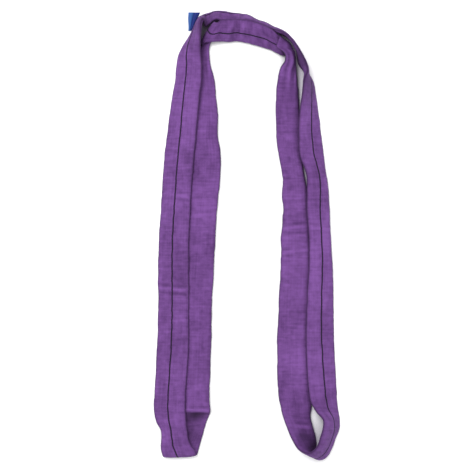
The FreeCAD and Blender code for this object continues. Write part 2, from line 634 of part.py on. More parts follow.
def spot_stops(name):
    part, s0, s1 = SPOTS[name]
    return [s for s in STOPS[part] if s0 - 1e-6 <= s <= s1 + 1e-6]


NODES = []


def feature(label, shape):
    node = doc.addObject("Part::Feature", label)
    node.Label = label
    node.Shape = shape
    NODES.append(node)


# ------------------------------------------------------------------ sleeve, hank and stripe
RESTING = "left_under"  # the part whose sleeve is pressed flat underneath


def make_sleeve(name, stops):
    if name == RESTING:
        sleeve = rested_tube(stops, size("rest_flat"))
    else:
        sleeve = tube(stops, (0.0, 0.0), EDGE_WALL, SLEEVE_WALL)
    feature("sleeve_" + name, sleeve)


def make_hank(name, stops):
    strands = int(size("strand_count"))
    core = []
    for k in range(strands):
        offset = ((2 * k + 1) / strands - 1) * size("strand_spread")
        core.append(rod(stops, offset, size("strand_fill") / strands, size("strand_flat")))
    feature("core_yarns_" + name, Part.makeCompound(core))


def make_stripe(name, stops):
    low = size("stripe_lift")
    feature("tracer_stripe_" + name,
            strip(stops, stripe_edges, low, low + size("stripe_thick")))


for name, stops in STOPS.items():
    make_sleeve(name, stops)
    make_hank(name, stops)
    make_stripe(name, stops)

# ------------------------------------------------------------------ ties round the hank, and the sleeve's tucked end
tie_inset = (EDGE_WALL + size("tie_inset"), SLEEVE_WALL + size("tie_inset"))
for name in SPOTS:
    if name != "traceability_tag":
        feature(name, tube(spot_stops(name), tie_inset, size("tie_thick"), size("tie_thick")))


# ------------------------------------------------------------------ the closing seam of the sleeve
def stitch_box():
    """A stitch along X, centred on the origin and standing on z = 0."""
    length, width = size("stitch_length"), size("stitch_width")
    return Part.makeBox(length, width, size("stitch_height"), Vector(-length / 2, -width / 2, 0))


def seam_stitch(s, x, side):
    """One stitch lying on the sleeve, its length across the tube."""
    centre, wide, face, half, thick = frame(s)
    up = face * side
    third = up.cross(wide)
    base = centre + wide * x + up * (rise(x, half, thick) + size("seam_lift"))
    matrix = FreeCAD.Matrix(
        wide.x, third.x, up.x, base.x,
        wide.y, third.y, up.y, base.y,
        wide.z, third.z, up.z, base.z,
        0, 0, 0, 1)
    return stitch_box().transformGeometry(matrix)


def make_seam():
    """Two stitch rows on each face; those on the striped face leave the stripe clear."""
    pitch = size("stitch_pitch")
    clear = size("stripe_width") / 2 + size("stitch_length") / 2 + size("seam_clear")
    threads = []
    for row in (-size("seam_row_share"), size("seam_row_share")):
        s = seam + row * size("lap_length")
        half = frame(s)[3]
        count = int(size("seam_row_cover") * half / pitch)
        for side in (1.0, -1.0):
            for k in range(count):
                x = (k - (count - 1) / 2) * pitch
                if side < 0 or abs(x - stripe_at(s) * half) > clear:
                    threads.append(seam_stitch(s, x, side))
    feature("closing_seam_thread", Part.makeCompound(threads))


make_seam()


# ------------------------------------------------------------------ the traceability tag, inside the sleeve
def tag_edges(s, half):
    return -size("tag_width") / 2, size("tag_width") / 2


feature("traceability_tag", strip(
    spot_stops("traceability_tag"), tag_edges,
    low=-size("tag_clear") - size("tag_thick"), high=-size("tag_clear"),
    side=-1.0, inset=(EDGE_WALL, SLEEVE_WALL)))


# ------------------------------------------------------------------ the label, a folded tape flap
def make_label():
    body = doc.addObject("PartDesign::Body", "label_body")
    body.Label = "label"
    sketch = body.newObject("Sketcher::SketchObject", "label_outline")
    plane = [item for item in body.Origin.OriginFeatures if item.Role == "XY_Plane"][0]
    sketch.AttachmentSupport = [(plane, "")]
    sketch.MapMode = "FlatFace"
    foot_run, top_run, side = size("label_foot_run"), size("label_top_run"), size("label_side")
    corners = [Vector(0, 0, 0), Vector(foot_run, 0, 0), Vector(top_run, side, 0),
               Vector(0, side, 0)]
    for k in range(4):
        sketch.addGeometry(Part.LineSegment(corners[k], corners[(k + 1) % 4]), False)
    for k in range(4):
        sketch.addConstraint(Sketcher.Constraint("Coincident", k, 2, (k + 1) % 4, 1))
    sketch.addConstraint(Sketcher.Constraint("Coincident", 0, 1, -1, 1))
    sketch.addConstraint(Sketcher.Constraint("Horizontal", 0))
    sketch.addConstraint(Sketcher.Constraint("Horizontal", 2))
    sketch.addConstraint(Sketcher.Constraint("Vertical", 3))
    for alias, kind, ends in (("label_foot_run", "DistanceX", (0, 1, 0, 2)),
                              ("label_top_run", "DistanceX", (2, 2, 2, 1)),
                              ("label_side", "DistanceY", (3, 2, 3, 1))):
        index = sketch.addConstraint(Sketcher.Constraint(kind, *ends, size(alias)))
        sketch.setExpression("Constraints[%d]" % index, "sizes." + alias)
    pad = body.newObject("PartDesign::Pad", "label_pad")
    pad.Profile = sketch
    pad.setExpression("Length", "sizes.label_thick")
    body.Tip = pad
    body.setExpression("Placement.Base.x", "sizes.label_left")
    body.setExpression("Placement.Base.y", "sizes.label_foot")
    body.setExpression("Placement.Base.z", "sizes.label_low")
    NODES.append(body)


def make_label_thread():
    """The stitch row along the label's slanting sewn edge."""
    left, pitch = size("label_left"), size("stitch_pitch")
    foot = Vector(left + size("label_foot_run"), size("label_foot"), 0)
    head = Vector(left + size("label_top_run"), size("label_foot") + size("label_side"), 0)
    line = head - foot
    line.normalize()
    inward = Vector(-line.y, line.x, 0)
    height = size("label_low") + size("label_thick") + size("label_stitch_lift")
    turn = Rotation(Vector(0, 0, 1), math.degrees(math.atan2(line.y, line.x)))
    stitches = []
    for k in range(int(foot.distanceToPoint(head) / pitch)):
        spot = foot + line * ((k + 0.5) * pitch) + inward * size("label_stitch_inset")
        # a stitch that could reach past the free side is left out
        if spot.x - size("stitch_length") / 2 > left:
            box = stitch_box()
            box.Placement = Placement(Vector(spot.x, spot.y, height), turn)
            stitches.append(box)
    feature("label_thread", Part.makeCompound(stitches))


make_label()
make_label_thread()

# ------------------------------------------------------------------ check and write
doc.recompute()
bad = []
for obj in doc.Objects:
    if any(word in ("Invalid", "Error") for word in obj.State):
        bad.append("%s is %s" % (obj.Label, obj.State))
for node in NODES:
    shape = node.Shape
    if shape.isNull() or not shape.isValid() or not shape.Solids:
        bad.append("%s has a null, invalid or empty shape" % node.Label)
    elif any(solid.Volume <= 0 for solid in shape.Solids):
        bad.append("%s has an inside-out solid" % node.Label)
if bad:
    raise RuntimeError("; ".join(bad))
os.makedirs("parts", exist_ok=True)
for node in NODES:
    node.Shape.exportStep(os.path.join("parts", node.Label + ".step"))
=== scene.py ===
# An endless violet woven sleeve around white core yarns, with a dark tracer stripe and a
# blue label. It lies on the floor (z = 0) as an arch: the bridge joins the legs at +Y, and
# the two legs, each a doubled run of sleeve, reach towards -Y. Left is -X, front is -Y.
# Shapes are worked out in millimetres and stored in metres.
import bpy
import math
import numpy as np
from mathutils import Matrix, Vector


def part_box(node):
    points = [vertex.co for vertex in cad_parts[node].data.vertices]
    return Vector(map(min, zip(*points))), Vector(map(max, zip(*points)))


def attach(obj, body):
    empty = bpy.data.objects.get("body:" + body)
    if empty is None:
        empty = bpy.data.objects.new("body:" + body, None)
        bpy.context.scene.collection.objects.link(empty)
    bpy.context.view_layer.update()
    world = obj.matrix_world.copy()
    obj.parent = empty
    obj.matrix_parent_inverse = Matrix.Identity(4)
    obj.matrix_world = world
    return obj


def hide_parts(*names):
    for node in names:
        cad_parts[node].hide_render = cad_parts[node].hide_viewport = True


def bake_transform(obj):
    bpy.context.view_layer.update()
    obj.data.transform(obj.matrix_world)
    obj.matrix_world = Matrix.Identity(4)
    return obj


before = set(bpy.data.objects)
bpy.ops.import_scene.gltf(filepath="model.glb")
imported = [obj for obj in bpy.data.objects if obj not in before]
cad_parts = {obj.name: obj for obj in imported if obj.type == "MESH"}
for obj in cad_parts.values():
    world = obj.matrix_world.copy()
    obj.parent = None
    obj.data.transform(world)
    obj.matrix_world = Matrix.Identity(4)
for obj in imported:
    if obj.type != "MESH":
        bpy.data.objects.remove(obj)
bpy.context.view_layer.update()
MM = 0.001  # metres in a millimetre

# ---------------------------------------------------------------- the lay of the loop
# One row per station, in order around the closed loop: first folded edge x y z, second
# folded edge x y z, thickness (mm), and where the tracer runs as a share of the half width.
RUNS = {}
RUNS["left_upper"] = [  # bottom to top
    (-127.73, -324.09, 13.20, -77.29, -321.53, 13.40, 7.00, -0.14),
    (-128.62, -315.74, 13.20, -82.95, -314.19, 13.60, 7.40, -0.17),
    (-127.98, -302.57, 11.00, -87.73, -303.76, 13.50, 8.00, -0.20),
    (-129.59, -290.92, 8.50, -89.51, -290.30, 13.80, 8.00, -0.17),
    (-136.14, -278.19, 6.00, -90.70, -276.85, 14.00, 8.20, -0.10),
    (-139.34, -262.90, 2.33, -92.02, -260.38, 12.13, 8.20, -0.07),
    (-138.90, -241.97, 2.33, -91.58, -239.53, 12.23, 8.20, -0.08),
    (-136.66, -201.54, 2.35, -89.20, -200.77, 12.05, 8.20, -0.07),
    (-134.41, -156.62, 2.35, -87.41, -156.02, 12.05, 8.20, -0.04),
    (-132.61, -99.72, 2.35, -87.11, -99.35, 12.05, 8.20, -0.04),
    (-133.21, -65.29, 2.35, -86.97, -65.04, 12.05, 8.20, -0.04),
    (-131.72, -2.40, 2.34, -86.67, -2.40, 12.04, 8.20, -0.05),
    (-128.72, 44.02, 2.34, -84.73, 43.84, 12.04, 8.20, -0.04),
    (-124.23, 112.89, 2.34, -79.51, 112.44, 12.04, 8.20, -0.04),
    (-121.24, 141.34, 2.13, -77.08, 140.68, 13.63, 8.20, -0.04),
    (-117.19, 171.29, 1.90, -74.19, 170.31, 15.90, 8.20, -0.04),
    (-111.50, 211.71, 1.63, -70.53, 210.21, 19.03, 8.20, -0.07),
    (-107.45, 232.65, 1.51, -67.96, 230.84, 20.71, 8.20, -0.10),
    (-105.50, 253.59, 1.38, -67.33, 251.43, 22.38, 8.20, -0.09),
    (-103.10, 268.56, 1.25, -68.32, 266.06, 24.25, 8.20, -0.12),
    (-96.36, 282.78, 0.88, -69.29, 279.81, 31.00, 8.20, -0.20),
    (-87.98, 294.75, 0.64, -69.54, 292.10, 33.50, 8.20, -0.30),
    (-81.39, 305.98, 0.52, -69.20, 304.43, 35.50, 7.80, -0.38),
    (-77.50, 315.56, 0.47, -68.32, 315.29, 35.00, 7.60, -0.46),
]
RUNS["bridge_rear"] = [  # left to right, standing half on edge
    (-72.71, 324.54, 0.44, -65.83, 321.04, 34.00, 7.20, -0.52),
    (-66.42, 330.23, 0.54, -63.28, 317.23, 28.00, 6.60, -0.54),
    (-61.33, 332.63, 0.95, -61.94, 310.76, 16.45, 6.00, -0.54),
    (-55.35, 333.98, 1.13, -57.23, 313.97, 13.63, 6.00, -0.54),
    (-47.86, 335.35, 0.86, -47.09, 320.99, 18.50, 6.80, -0.54),
    (-37.39, 335.98, 1.60, -35.79, 317.96, 13.60, 7.80, -0.54),
    (-22.41, 333.88, 1.50, -21.63, 317.34, 13.70, 7.60, -0.54),
    (-9.24, 331.48, 0.74, -9.27, 320.10, 18.50, 6.60, -0.54),
    (2.29, 328.61, 0.59, 2.64, 319.44, 19.00, 6.00, -0.54),
    (14.26, 322.75, 0.51, 13.95, 316.10, 19.50, 5.60, -0.54),
    (26.69, 318.26, 0.50, 25.55, 311.93, 19.50, 5.40, -0.52),
    (38.97, 311.97, 0.45, 38.00, 307.15, 22.00, 5.40, -0.48),
    (50.94, 303.89, 0.42, 51.64, 301.74, 34.50, 5.60, -0.46),
    (63.82, 294.75, 0.42, 63.63, 292.18, 39.00, 5.40, -0.46),
    (72.80, 283.68, 0.42, 72.60, 281.14, 40.00, 5.40, -0.43),
    (75.79, 270.50, 0.42, 80.57, 268.59, 40.00, 6.20, -0.38),
    (78.19, 258.23, 0.42, 85.92, 257.19, 39.00, 7.60, -0.33),
]
RUNS["right_upper"] = [  # top to bottom
    (86.27, 246.70, 0.42, 89.49, 245.13, 38.50, 7.60, -0.27),
    (97.35, 232.63, 0.52, 84.97, 231.09, 37.00, 8.00, -0.18),
    (102.74, 208.68, 0.71, 81.54, 206.22, 34.00, 8.50, -0.13),
    (105.73, 189.22, 0.98, 78.74, 187.30, 30.00, 9.00, -0.10),
    (108.43, 171.25, 1.47, 77.37, 169.72, 23.47, 9.50, -0.07),
    (111.72, 144.31, 2.06, 76.96, 143.31, 19.06, 10.00, -0.05),
    (115.01, 118.86, 2.55, 78.71, 119.67, 16.55, 10.50, -0.09),
    (117.08, 102.37, 3.03, 85.15, 101.84, 15.53, 11.50, -0.13),
    (119.18, 87.40, 3.34, 89.21, 86.99, 14.84, 12.00, -0.14),
    (121.87, 67.94, 3.38, 89.36, 67.62, 14.88, 12.00, -0.10),
    (123.22, 44.00, 3.41, 89.06, 43.78, 14.91, 12.00, -0.05),
    (125.31, -0.90, 3.29, 92.36, -0.91, 14.29, 11.50, -0.04),
    (127.74, -39.82, 3.12, 92.68, -39.66, 14.12, 11.00, -0.04),
    (129.23, -81.74, 2.68, 90.32, -81.41, 13.18, 9.50, -0.03),
    (130.01, -126.67, 2.46, 88.85, -126.15, 12.86, 8.80, -0.04),
    (130.61, -161.11, 2.36, 88.57, -160.47, 12.46, 8.40, -0.07),
    (132.41, -195.55, 2.36, 89.31, -194.77, 12.46, 8.40, -0.10),
    (134.05, -228.48, 2.13, 91.79, -227.45, 13.53, 8.20, -0.12),
    (135.38, -247.93, 1.68, 94.89, -247.92, 16.88, 8.00, -0.12),
]
RUNS["right_eye"] = [  # open eye at the foot of the right leg
    (137.17, -264.38, 1.03, 102.20, -261.11, 25.03, 8.00, -0.05),
    (138.67, -277.85, 0.65, 113.05, -273.58, 37.00, 8.00, -0.03),
    (138.22, -289.82, 0.66, 112.01, -285.79, 40.00, 8.00, -0.16),
    (132.68, -303.30, 0.63, 108.42, -298.22, 41.00, 8.00, -0.27),
    (127.29, -318.27, 0.62, 104.56, -309.96, 41.50, 8.00, -0.22),
    (119.80, -330.99, 0.62, 98.93, -317.27, 42.00, 8.00, -0.14),
    (111.72, -335.63, 0.52, 92.14, -321.25, 42.00, 7.60, -0.13),
    (105.43, -331.74, 0.42, 84.49, -320.43, 41.50, 7.40, -0.13),
    (103.04, -322.76, 0.58, 75.74, -315.73, 39.00, 7.40, -0.11),
    (103.64, -312.28, 0.75, 68.52, -305.72, 34.00, 7.60, -0.10),
    (102.44, -300.30, 1.12, 62.23, -293.22, 23.12, 7.80, -0.10),
    (98.70, -286.83, 1.63, 57.69, -282.14, 16.63, 8.00, -0.10),
]
RUNS["right_lower"] = [  # bottom to top
    (95.26, -273.38, 2.36, 52.79, -268.50, 11.56, 8.20, -0.10),
    (97.37, -252.44, 3.41, 48.62, -247.61, 6.81, 8.20, -0.10),
    (94.39, -231.51, 4.19, 46.30, -228.45, 4.99, 8.20, -0.10),
    (92.29, -195.57, 4.38, 45.26, -195.55, 4.68, 8.20, -0.10),
    (91.39, -161.13, 4.38, 45.11, -161.11, 4.68, 8.20, -0.10),
    (92.89, -104.23, 4.34, 47.36, -104.21, 4.74, 8.20, -0.10),
    (94.39, -59.30, 4.26, 49.60, -59.29, 4.86, 8.20, -0.10),
    (95.14, -24.86, 4.29, 51.09, -24.85, 5.09, 8.40, -0.10),
    (94.39, -2.40, 4.29, 50.79, -2.40, 5.09, 8.40, -0.10),
    (92.89, 24.55, 4.29, 53.49, 24.55, 5.09, 8.40, -0.10),
    (91.39, 45.52, 4.29, 53.79, 45.50, 5.09, 8.40, -0.10),
    (90.65, 57.50, 4.29, 52.29, 57.48, 5.09, 8.40, -0.10),
    (88.39, 76.96, 4.39, 53.63, 76.93, 5.19, 8.60, -0.10),
    (85.39, 94.92, 4.45, 52.13, 94.89, 5.35, 8.80, -0.10),
    (83.14, 112.89, 4.51, 48.83, 112.84, 5.51, 9.00, -0.10),
    (81.64, 136.83, 4.54, 44.93, 136.77, 5.74, 9.20, -0.10),
    (79.38, 171.25, 4.52, 43.42, 171.15, 6.02, 9.40, -0.10),
    (77.14, 207.18, 4.34, 43.39, 206.93, 7.34, 10.00, -0.10),
    (74.81, 232.42, 7.20, 45.98, 231.97, 12.00, 10.00, -0.10),
    (73.54, 248.64, 9.50, 50.05, 249.48, 16.00, 10.50, -0.10),
    (72.81, 260.23, 13.00, 56.78, 260.92, 20.50, 10.50, -0.10),
]
RUNS["bridge_front"] = [  # right to left, with the folded corner at each end
    (72.28, 267.42, 15.50, 56.37, 269.71, 24.50, 9.00, -0.10),
    (71.46, 273.16, 17.50, 50.90, 274.85, 29.00, 7.80, -0.10),
    (68.72, 277.11, 19.40, 43.40, 279.19, 32.50, 6.80, -0.10),
    (66.78, 280.37, 19.60, 44.85, 286.42, 34.00, 6.40, -0.10),
    (65.95, 282.08, 17.60, 47.26, 291.66, 32.20, 5.80, -0.10),
    (65.95, 282.61, 13.00, 48.26, 294.24, 28.00, 5.80, -0.10),
    (65.78, 280.68, 9.00, 47.75, 295.84, 24.60, 6.20, -0.10),
    (62.59, 274.43, 6.00, 44.51, 299.55, 23.40, 6.60, -0.11),
    (54.69, 268.88, 4.80, 38.54, 305.06, 24.50, 7.00, -0.11),
    (44.96, 272.77, 4.80, 32.28, 308.73, 26.00, 7.20, -0.10),
    (35.23, 277.56, 4.80, 25.73, 312.17, 27.00, 7.50, -0.08),
    (24.00, 280.71, 4.80, 18.90, 314.92, 27.50, 7.60, -0.08),
    (12.02, 284.15, 4.80, 9.10, 317.67, 28.00, 7.60, -0.10),
    (0.04, 287.44, 4.80, -1.28, 319.60, 28.00, 7.60, -0.10),
    (-13.43, 289.84, 4.80, -13.44, 320.94, 28.00, 7.60, -0.12),
    (-26.90, 289.17, 5.40, -24.57, 320.64, 28.00, 7.60, -0.13),
    (-38.85, 289.70, 8.50, -34.50, 319.97, 28.60, 7.60, -0.10),
    (-49.85, 288.95, 12.40, -38.05, 319.30, 29.20, 7.00, -0.10),
    (-57.59, 288.01, 14.00, -40.72, 318.11, 29.20, 6.40, -0.14),
    (-63.54, 287.06, 14.50, -43.40, 316.73, 28.40, 6.20, -0.06),
    (-67.30, 287.21, 13.20, -46.09, 316.84, 26.40, 6.00, 0.08),
    (-68.86, 287.76, 9.80, -47.34, 318.01, 22.00, 6.00, 0.20),
    (-68.04, 286.97, 6.30, -46.51, 316.42, 17.00, 6.20, 0.20),
    (-67.92, 285.17, 5.00, -47.31, 310.96, 13.00, 6.60, 0.20),
    (-69.42, 282.36, 2.44, -50.79, 301.85, 7.14, 7.00, 0.20),
    (-71.82, 277.87, 3.34, -53.97, 290.78, 5.64, 7.60, 0.20),
    (-74.51, 271.28, 4.02, -56.23, 280.43, 5.22, 8.20, 0.15),
]
RUNS["left_lower"] = [  # top to bottom
    (-78.11, 261.09, 4.39, -55.93, 267.89, 5.19, 8.60, -0.04),
    (-81.40, 248.52, 4.56, -53.54, 252.65, 5.16, 8.80, -0.10),
    (-83.79, 235.04, 4.56, -49.50, 236.48, 5.16, 8.80, -0.10),
    (-84.70, 211.71, 4.54, -46.51, 211.67, 4.94, 8.60, -0.10),
    (-84.40, 171.29, 4.52, -43.08, 171.28, 4.72, 8.40, -0.10),
    (-86.05, 147.34, 4.52, -43.67, 148.82, 4.72, 8.40, -0.10),
    (-84.56, 127.88, 4.47, -39.93, 129.37, 4.57, 8.20, -0.10),
    (-86.06, 81.46, 4.42, -40.53, 81.45, 4.62, 8.20, -0.10),
    (-89.80, 44.02, 4.42, -44.42, 44.02, 4.62, 8.20, -0.10),
    (-92.80, -2.40, 4.42, -47.27, -2.40, 4.62, 8.20, -0.10),
    (-95.79, -51.82, 4.42, -49.52, -51.81, 4.62, 8.20, -0.10),
    (-98.49, -104.23, 4.42, -52.81, -104.22, 4.62, 8.20, -0.10),
    (-99.38, -161.13, 4.42, -53.41, -161.12, 4.62, 8.20, -0.10),
    (-100.88, -206.06, 4.42, -55.21, -206.04, 4.62, 8.20, -0.10),
    (-101.78, -236.01, 3.85, -56.23, -235.84, 5.65, 8.20, -0.10),
    (-101.78, -249.48, 3.10, -55.74, -249.65, 7.50, 8.00, -0.10),
    (-102.08, -256.97, 2.40, -54.81, -257.81, 8.80, 7.20, -0.10),
    (-102.54, -262.09, 2.08, -54.84, -263.68, 6.98, 6.00, -0.10),
    (-103.31, -265.44, 2.22, -55.64, -267.03, 4.22, 5.00, -0.10),
    (-104.82, -269.84, 2.55, -57.02, -270.85, 2.95, 4.60, -0.10),
    (-107.52, -277.33, 2.72, -59.28, -276.88, 2.72, 4.60, -0.10),
    (-110.36, -286.30, 3.02, -61.97, -285.25, 3.02, 5.20, -0.10),
    (-116.04, -301.98, 3.42, -66.45, -300.48, 3.42, 6.00, -0.10),
    (-120.67, -312.45, 3.52, -69.45, -310.36, 3.52, 6.20, -0.10),
    (-123.06, -319.92, 3.62, -71.54, -317.52, 3.62, 6.40, -0.10),
    (-124.25, -325.88, 3.76, -73.33, -323.49, 3.76, 6.80, -0.10),
]
RUNS["left_bight"] = [  # flat bight at the foot of the left leg
    (-124.94, -329.16, 5.30, -74.20, -326.46, 5.30, 6.60, -0.10),
    (-125.55, -330.22, 8.60, -74.87, -327.51, 8.70, 6.60, -0.10),
    (-126.59, -328.29, 11.90, -75.98, -325.58, 12.10, 6.60, -0.12),
]

STATIONS = np.array([row for rows in RUNS.values() for row in rows], float)
COUNT = len(STATIONS)
EDGE_1, EDGE_2 = STATIONS[:, 0:3], STATIONS[:, 3:6]
THICKNESS, TRACER_SHARE = STATIONS[:, 6], STATIONS[:, 7]


def gaps(edge):
    return np.linalg.norm(np.roll(edge, -1, axis=0) - edge, axis=1)


# A "place" is a distance in mm along the loop; STEP is the distance to the next station.
STEP = np.maximum(2.0, 0.5 * (gaps(EDGE_1) + gaps(EDGE_2)))
PLACE = np.concatenate([[0.0], np.cumsum(STEP)])
LENGTH = PLACE[-1]
RUN_ENDS, first_row = {}, 0
for run_name, rows in RUNS.items():
    RUN_ENDS[run_name] = (PLACE[first_row], PLACE[first_row + len(rows) - 1])
    first_row += len(rows)


def spread(values, s):
    """Smooth closed interpolation (cubic Hermite) of the station values at places s."""
    s = np.mod(s, LENGTH)
    i = np.clip(np.searchsorted(PLACE, s, side="right") - 1, 0, COUNT - 1)
    f = (s - PLACE[i]) / STEP[i]
    before, here = values[(i - 1) % COUNT], values[i]
    after, beyond = values[(i + 1) % COUNT], values[(i + 2) % COUNT]
    h0, h1, h2 = STEP[(i - 1) % COUNT], STEP[i], STEP[(i + 1) % COUNT]
    if values.ndim > 1:
        f, h0, h1, h2 = f[:, None], h0[:, None], h1[:, None], h2[:, None]
    slope_here = ((here - before) * (h1 / h0) + (after - here) * (h0 / h1)) / (h0 + h1)
    slope_after = ((after - here) * (h2 / h1) + (beyond - after) * (h1 / h2)) / (h1 + h2)
    f2, f3 = f * f, f * f * f
    return (here * (2 * f3 - 3 * f2 + 1) + slope_here * (h1 * (f3 - 2 * f2 + f))
            + after * (3 * f2 - 2 * f3) + slope_after * (h1 * (f3 - f2)))


def unit(v):
    return v / np.maximum(np.linalg.norm(v, axis=-1, keepdims=True), 1e-9)


SAMPLE = 1.5  # mm between the places compared to find the sleeve's direction


def lean(s):
    """Normal of the striped face, before smoothing."""
    along = [unit(spread(e, s + SAMPLE) - spread(e, s - SAMPLE)) for e in (EDGE_1, EDGE_2)]
    return unit(np.cross(spread(EDGE_2, s) - spread(EDGE_1, s), along[0] + along[1]))


def frames(s):
    """Centre, width direction, striped-face direction, half width and half thickness."""
    edge_1, edge_2 = spread(EDGE_1, s), spread(EDGE_2, s)
    wide = edge_2 - edge_1
    half = np.linalg.norm(wide, axis=1) / 2
    wide = unit(wide)
    smoothing = ((-2, 1), (-1, 2), (0, 3), (1, 2), (2, 1))  # samples away, weight
    face = sum(lean(s + SAMPLE * away) * weight for away, weight in smoothing)
    face = unit(face - wide * np.sum(face * wide, axis=1, keepdims=True))
    return (edge_1 + edge_2) * 0.5, wide, face, half, spread(THICKNESS, s) / 2


def place_of(run, y):
    """Place along the loop where the centre of a run crosses y."""
    start, end = RUN_ENDS[run]
    s = np.linspace(start - 20, end + 20, 1500)
    centre_y = ((spread(EDGE_1, s) + spread(EDGE_2, s)) * 0.5)[:, 1]
    off = centre_y - y
    crossings = [i for i in range(len(s) - 1) if off[i] * off[i + 1] <= 0]
    i = crossings[len(crossings) // 2]
    share = abs(off[i]) / max(1e-9, abs(off[i]) + abs(off[i + 1]))
    return float(s[i] + (s[i + 1] - s[i]) * share)


# ---------------------------------------------------------------- soft noise and bells
def ease(t):
    return t * t * t * (t * (t * 6 - 15) + 10)


def noise(s, x, long, wide, seed):
    """Smooth noise closed along the loop; long and wide are its wavelengths in mm."""
    n = int(round(LENGTH / long))
    m = int(round(80.0 / wide)) + 3
    grid = np.random.default_rng(seed).uniform(-1, 1, (n, m))
    p = np.mod(s, LENGTH) / LENGTH * n
    q = np.clip((x + 40.0) / wide, 0, m - 1.001)
    i, j = np.floor(p).astype(int), np.floor(q).astype(int)
    u, v = ease(p - i), ease(q - j)
    i0, i1 = i % n, (i + 1) % n
    j0, j1 = j % m, (j + 1) % m
    return ((grid[i0, j0] * (1 - u) + grid[i1, j0] * u) * (1 - v)
            + (grid[i0, j1] * (1 - u) + grid[i1, j1] * u) * v)


def distance(s, middle):
    """Signed distance from the middle along the closed loop."""
    return np.mod(s - middle + LENGTH / 2, LENGTH) - LENGTH / 2


def bell(s, middle, reach):
    """1 at the middle falling to 0 at the reach."""
    t = np.clip(1 - np.abs(distance(s, middle)) / reach, 0, 1)
    return t * t * (3 - 2 * t)


MIDDLE_REAR = 0.5 * sum(RUN_ENDS["bridge_rear"])
MIDDLE_FRONT = 0.5 * sum(RUN_ENDS["bridge_front"])
REAR_LONG = RUN_ENDS["bridge_rear"][1] - RUN_ENDS["bridge_rear"][0]
FRONT_LONG = RUN_ENDS["bridge_front"][1] - RUN_ENDS["bridge_front"][0]


def on_bridge(s, rear_weight, rear_reach):
    """1 on the bridge fading to 0 on the legs; rear_reach is a share of the rear strip."""
    front = bell(s, MIDDLE_FRONT, 0.62 * FRONT_LONG)
    return np.clip(front + rear_weight * bell(s, MIDDLE_REAR, rear_reach * REAR_LONG), 0, 1)


# ---------------------------------------------------------------- surface of the sleeve
# Side is +1 on the striped face and -1 on the other; x is mm across from the centre line.
CREASES = [  # run, y, reach, height: fine creases across the sleeve
    ("left_upper", -80.0, 4.5, 0.8), ("left_upper", -87.0, 3.5, -0.5),
    ("left_upper", 60.0, 4.0, 0.5), ("right_upper", 10.0, 4.5, 0.6),
    ("right_lower", 12.0, 4.0, 0.9), ("right_lower", 3.0, 3.5, -0.6),
    ("right_lower", -24.0, 4.5, 0.6), ("left_lower", 30.0, 4.5, 0.5),
]
CREASES = [(place_of(run, y), reach, height) for run, y, reach, height in CREASES]
MARKS = [  # place, x, reach, half breadth, height, side: folds and hollows in one face
    (2814.5, 8.0, 5.0, 40.0, 0.9, -1), (2829.0, 2.0, 16.0, 20.0, -0.8, -1),
    (1518.0, -3.0, 7.0, 17.0, 1.1, -1), (1501.0, 0.0, 15.0, 15.0, -0.9, -1),
]
# painted shade: patches darkened where the sleeve lies in shadow, under the left bight's kink, in
# the right eye's dent, on the rear strip and at the corners
SHADE_PATCHES = [  # place, x, reach before, reach after, half breadth, amount, side (0 both)
    (2820.0, 3.0, 7.0, 26.0, 18.0, 0.90, -1), (2850.0, 6.0, 40.0, 40.0, 26.0, 0.34, -1),
    (1501.0, 0.0, 18.0, 18.0, 15.0, 0.55, -1), (1487.0, -6.0, 22.0, 22.0, 14.0, 0.35, -1),
    (797.0, 0.0, 55.0, 55.0, 60.0, 0.34, 0), (847.0, 0.0, 45.0, 45.0, 60.0, 0.60, 0),
    (887.0, 4.0, 44.0, 44.0, 60.0, 0.52, 0), (740.0, 0.0, 90.0, 90.0, 60.0, 0.24, 0),
    (669.0, 16.0, 26.0, 26.0, 9.0, 0.75, 0), (2117.0, 0.0, 26.0, 26.0, 60.0, 0.25, 1),
]
CORNERS = [  # place, reach
    (RUN_ENDS["left_upper"][1], 70), (RUN_ENDS["right_upper"][0], 70),
    (RUN_ENDS["right_lower"][1], 80), (RUN_ENDS["left_lower"][0], 70),
]
DEEPEST = 0.85  # mm, limit of the hollows


def relief(s, x, half, side):
    """How far the woven skin stands out from the plain flattened tube, in mm."""
    base = 100 * (side < 0)
    d = 0.75 * noise(s, x, long=70, wide=26, seed=11 + base)
    d = d + 0.48 * noise(s, x, long=26, wide=13, seed=12 + base)
    # crosswise puckers, strongest on the bridge
    bridge = on_bridge(s, rear_weight=0.7, rear_reach=0.6)
    d = (d + (0.24 + 0.95 * bridge) * noise(s + 0.25 * x, x, long=13, wide=44, seed=13 + base)
         + (0.12 + 0.26 * bridge) * noise(s, x, long=5.5, wide=18, seed=14 + base))
    d = d + 0.20 * noise(s - 0.5 * x, x, long=18, wide=9, seed=16 + base)
    # lengthwise gathers where the sleeve turns a corner
    corner = np.clip(sum(bell(s, place, reach) for place, reach in CORNERS), 0, 1)
    d = d + 1.2 * corner * noise(s, x, long=60, wide=6.5, seed=15 + base)
    for place, reach, height in CREASES:
        d = d + height * bell(s + 0.10 * x, place, reach)
    for place, middle, reach, breadth, height, marked in MARKS:
        if marked * side > 0:
            d = d + height * bell(s, place, reach) * np.exp(-((x - middle) / breadth) ** 2)
    d = np.where(d < 0, DEEPEST * np.tanh(d / DEEPEST), d)
    return d * (1 - np.clip(np.abs(x) / half, 0, 1) ** 6)


def crest(s, x, half, side):
    """Fine part of the relief alone: +1 on ridges, -1 in hollows."""
    nearby = ((5, 0), (-5, 0), (0, 4), (0, -4))  # mm along, mm across
    around = 0.25 * sum(relief(s + ds, x + dx, half, side) for ds, dx in nearby)
    return np.clip((relief(s, x, half, side) - around) / 0.5, -1, 1)


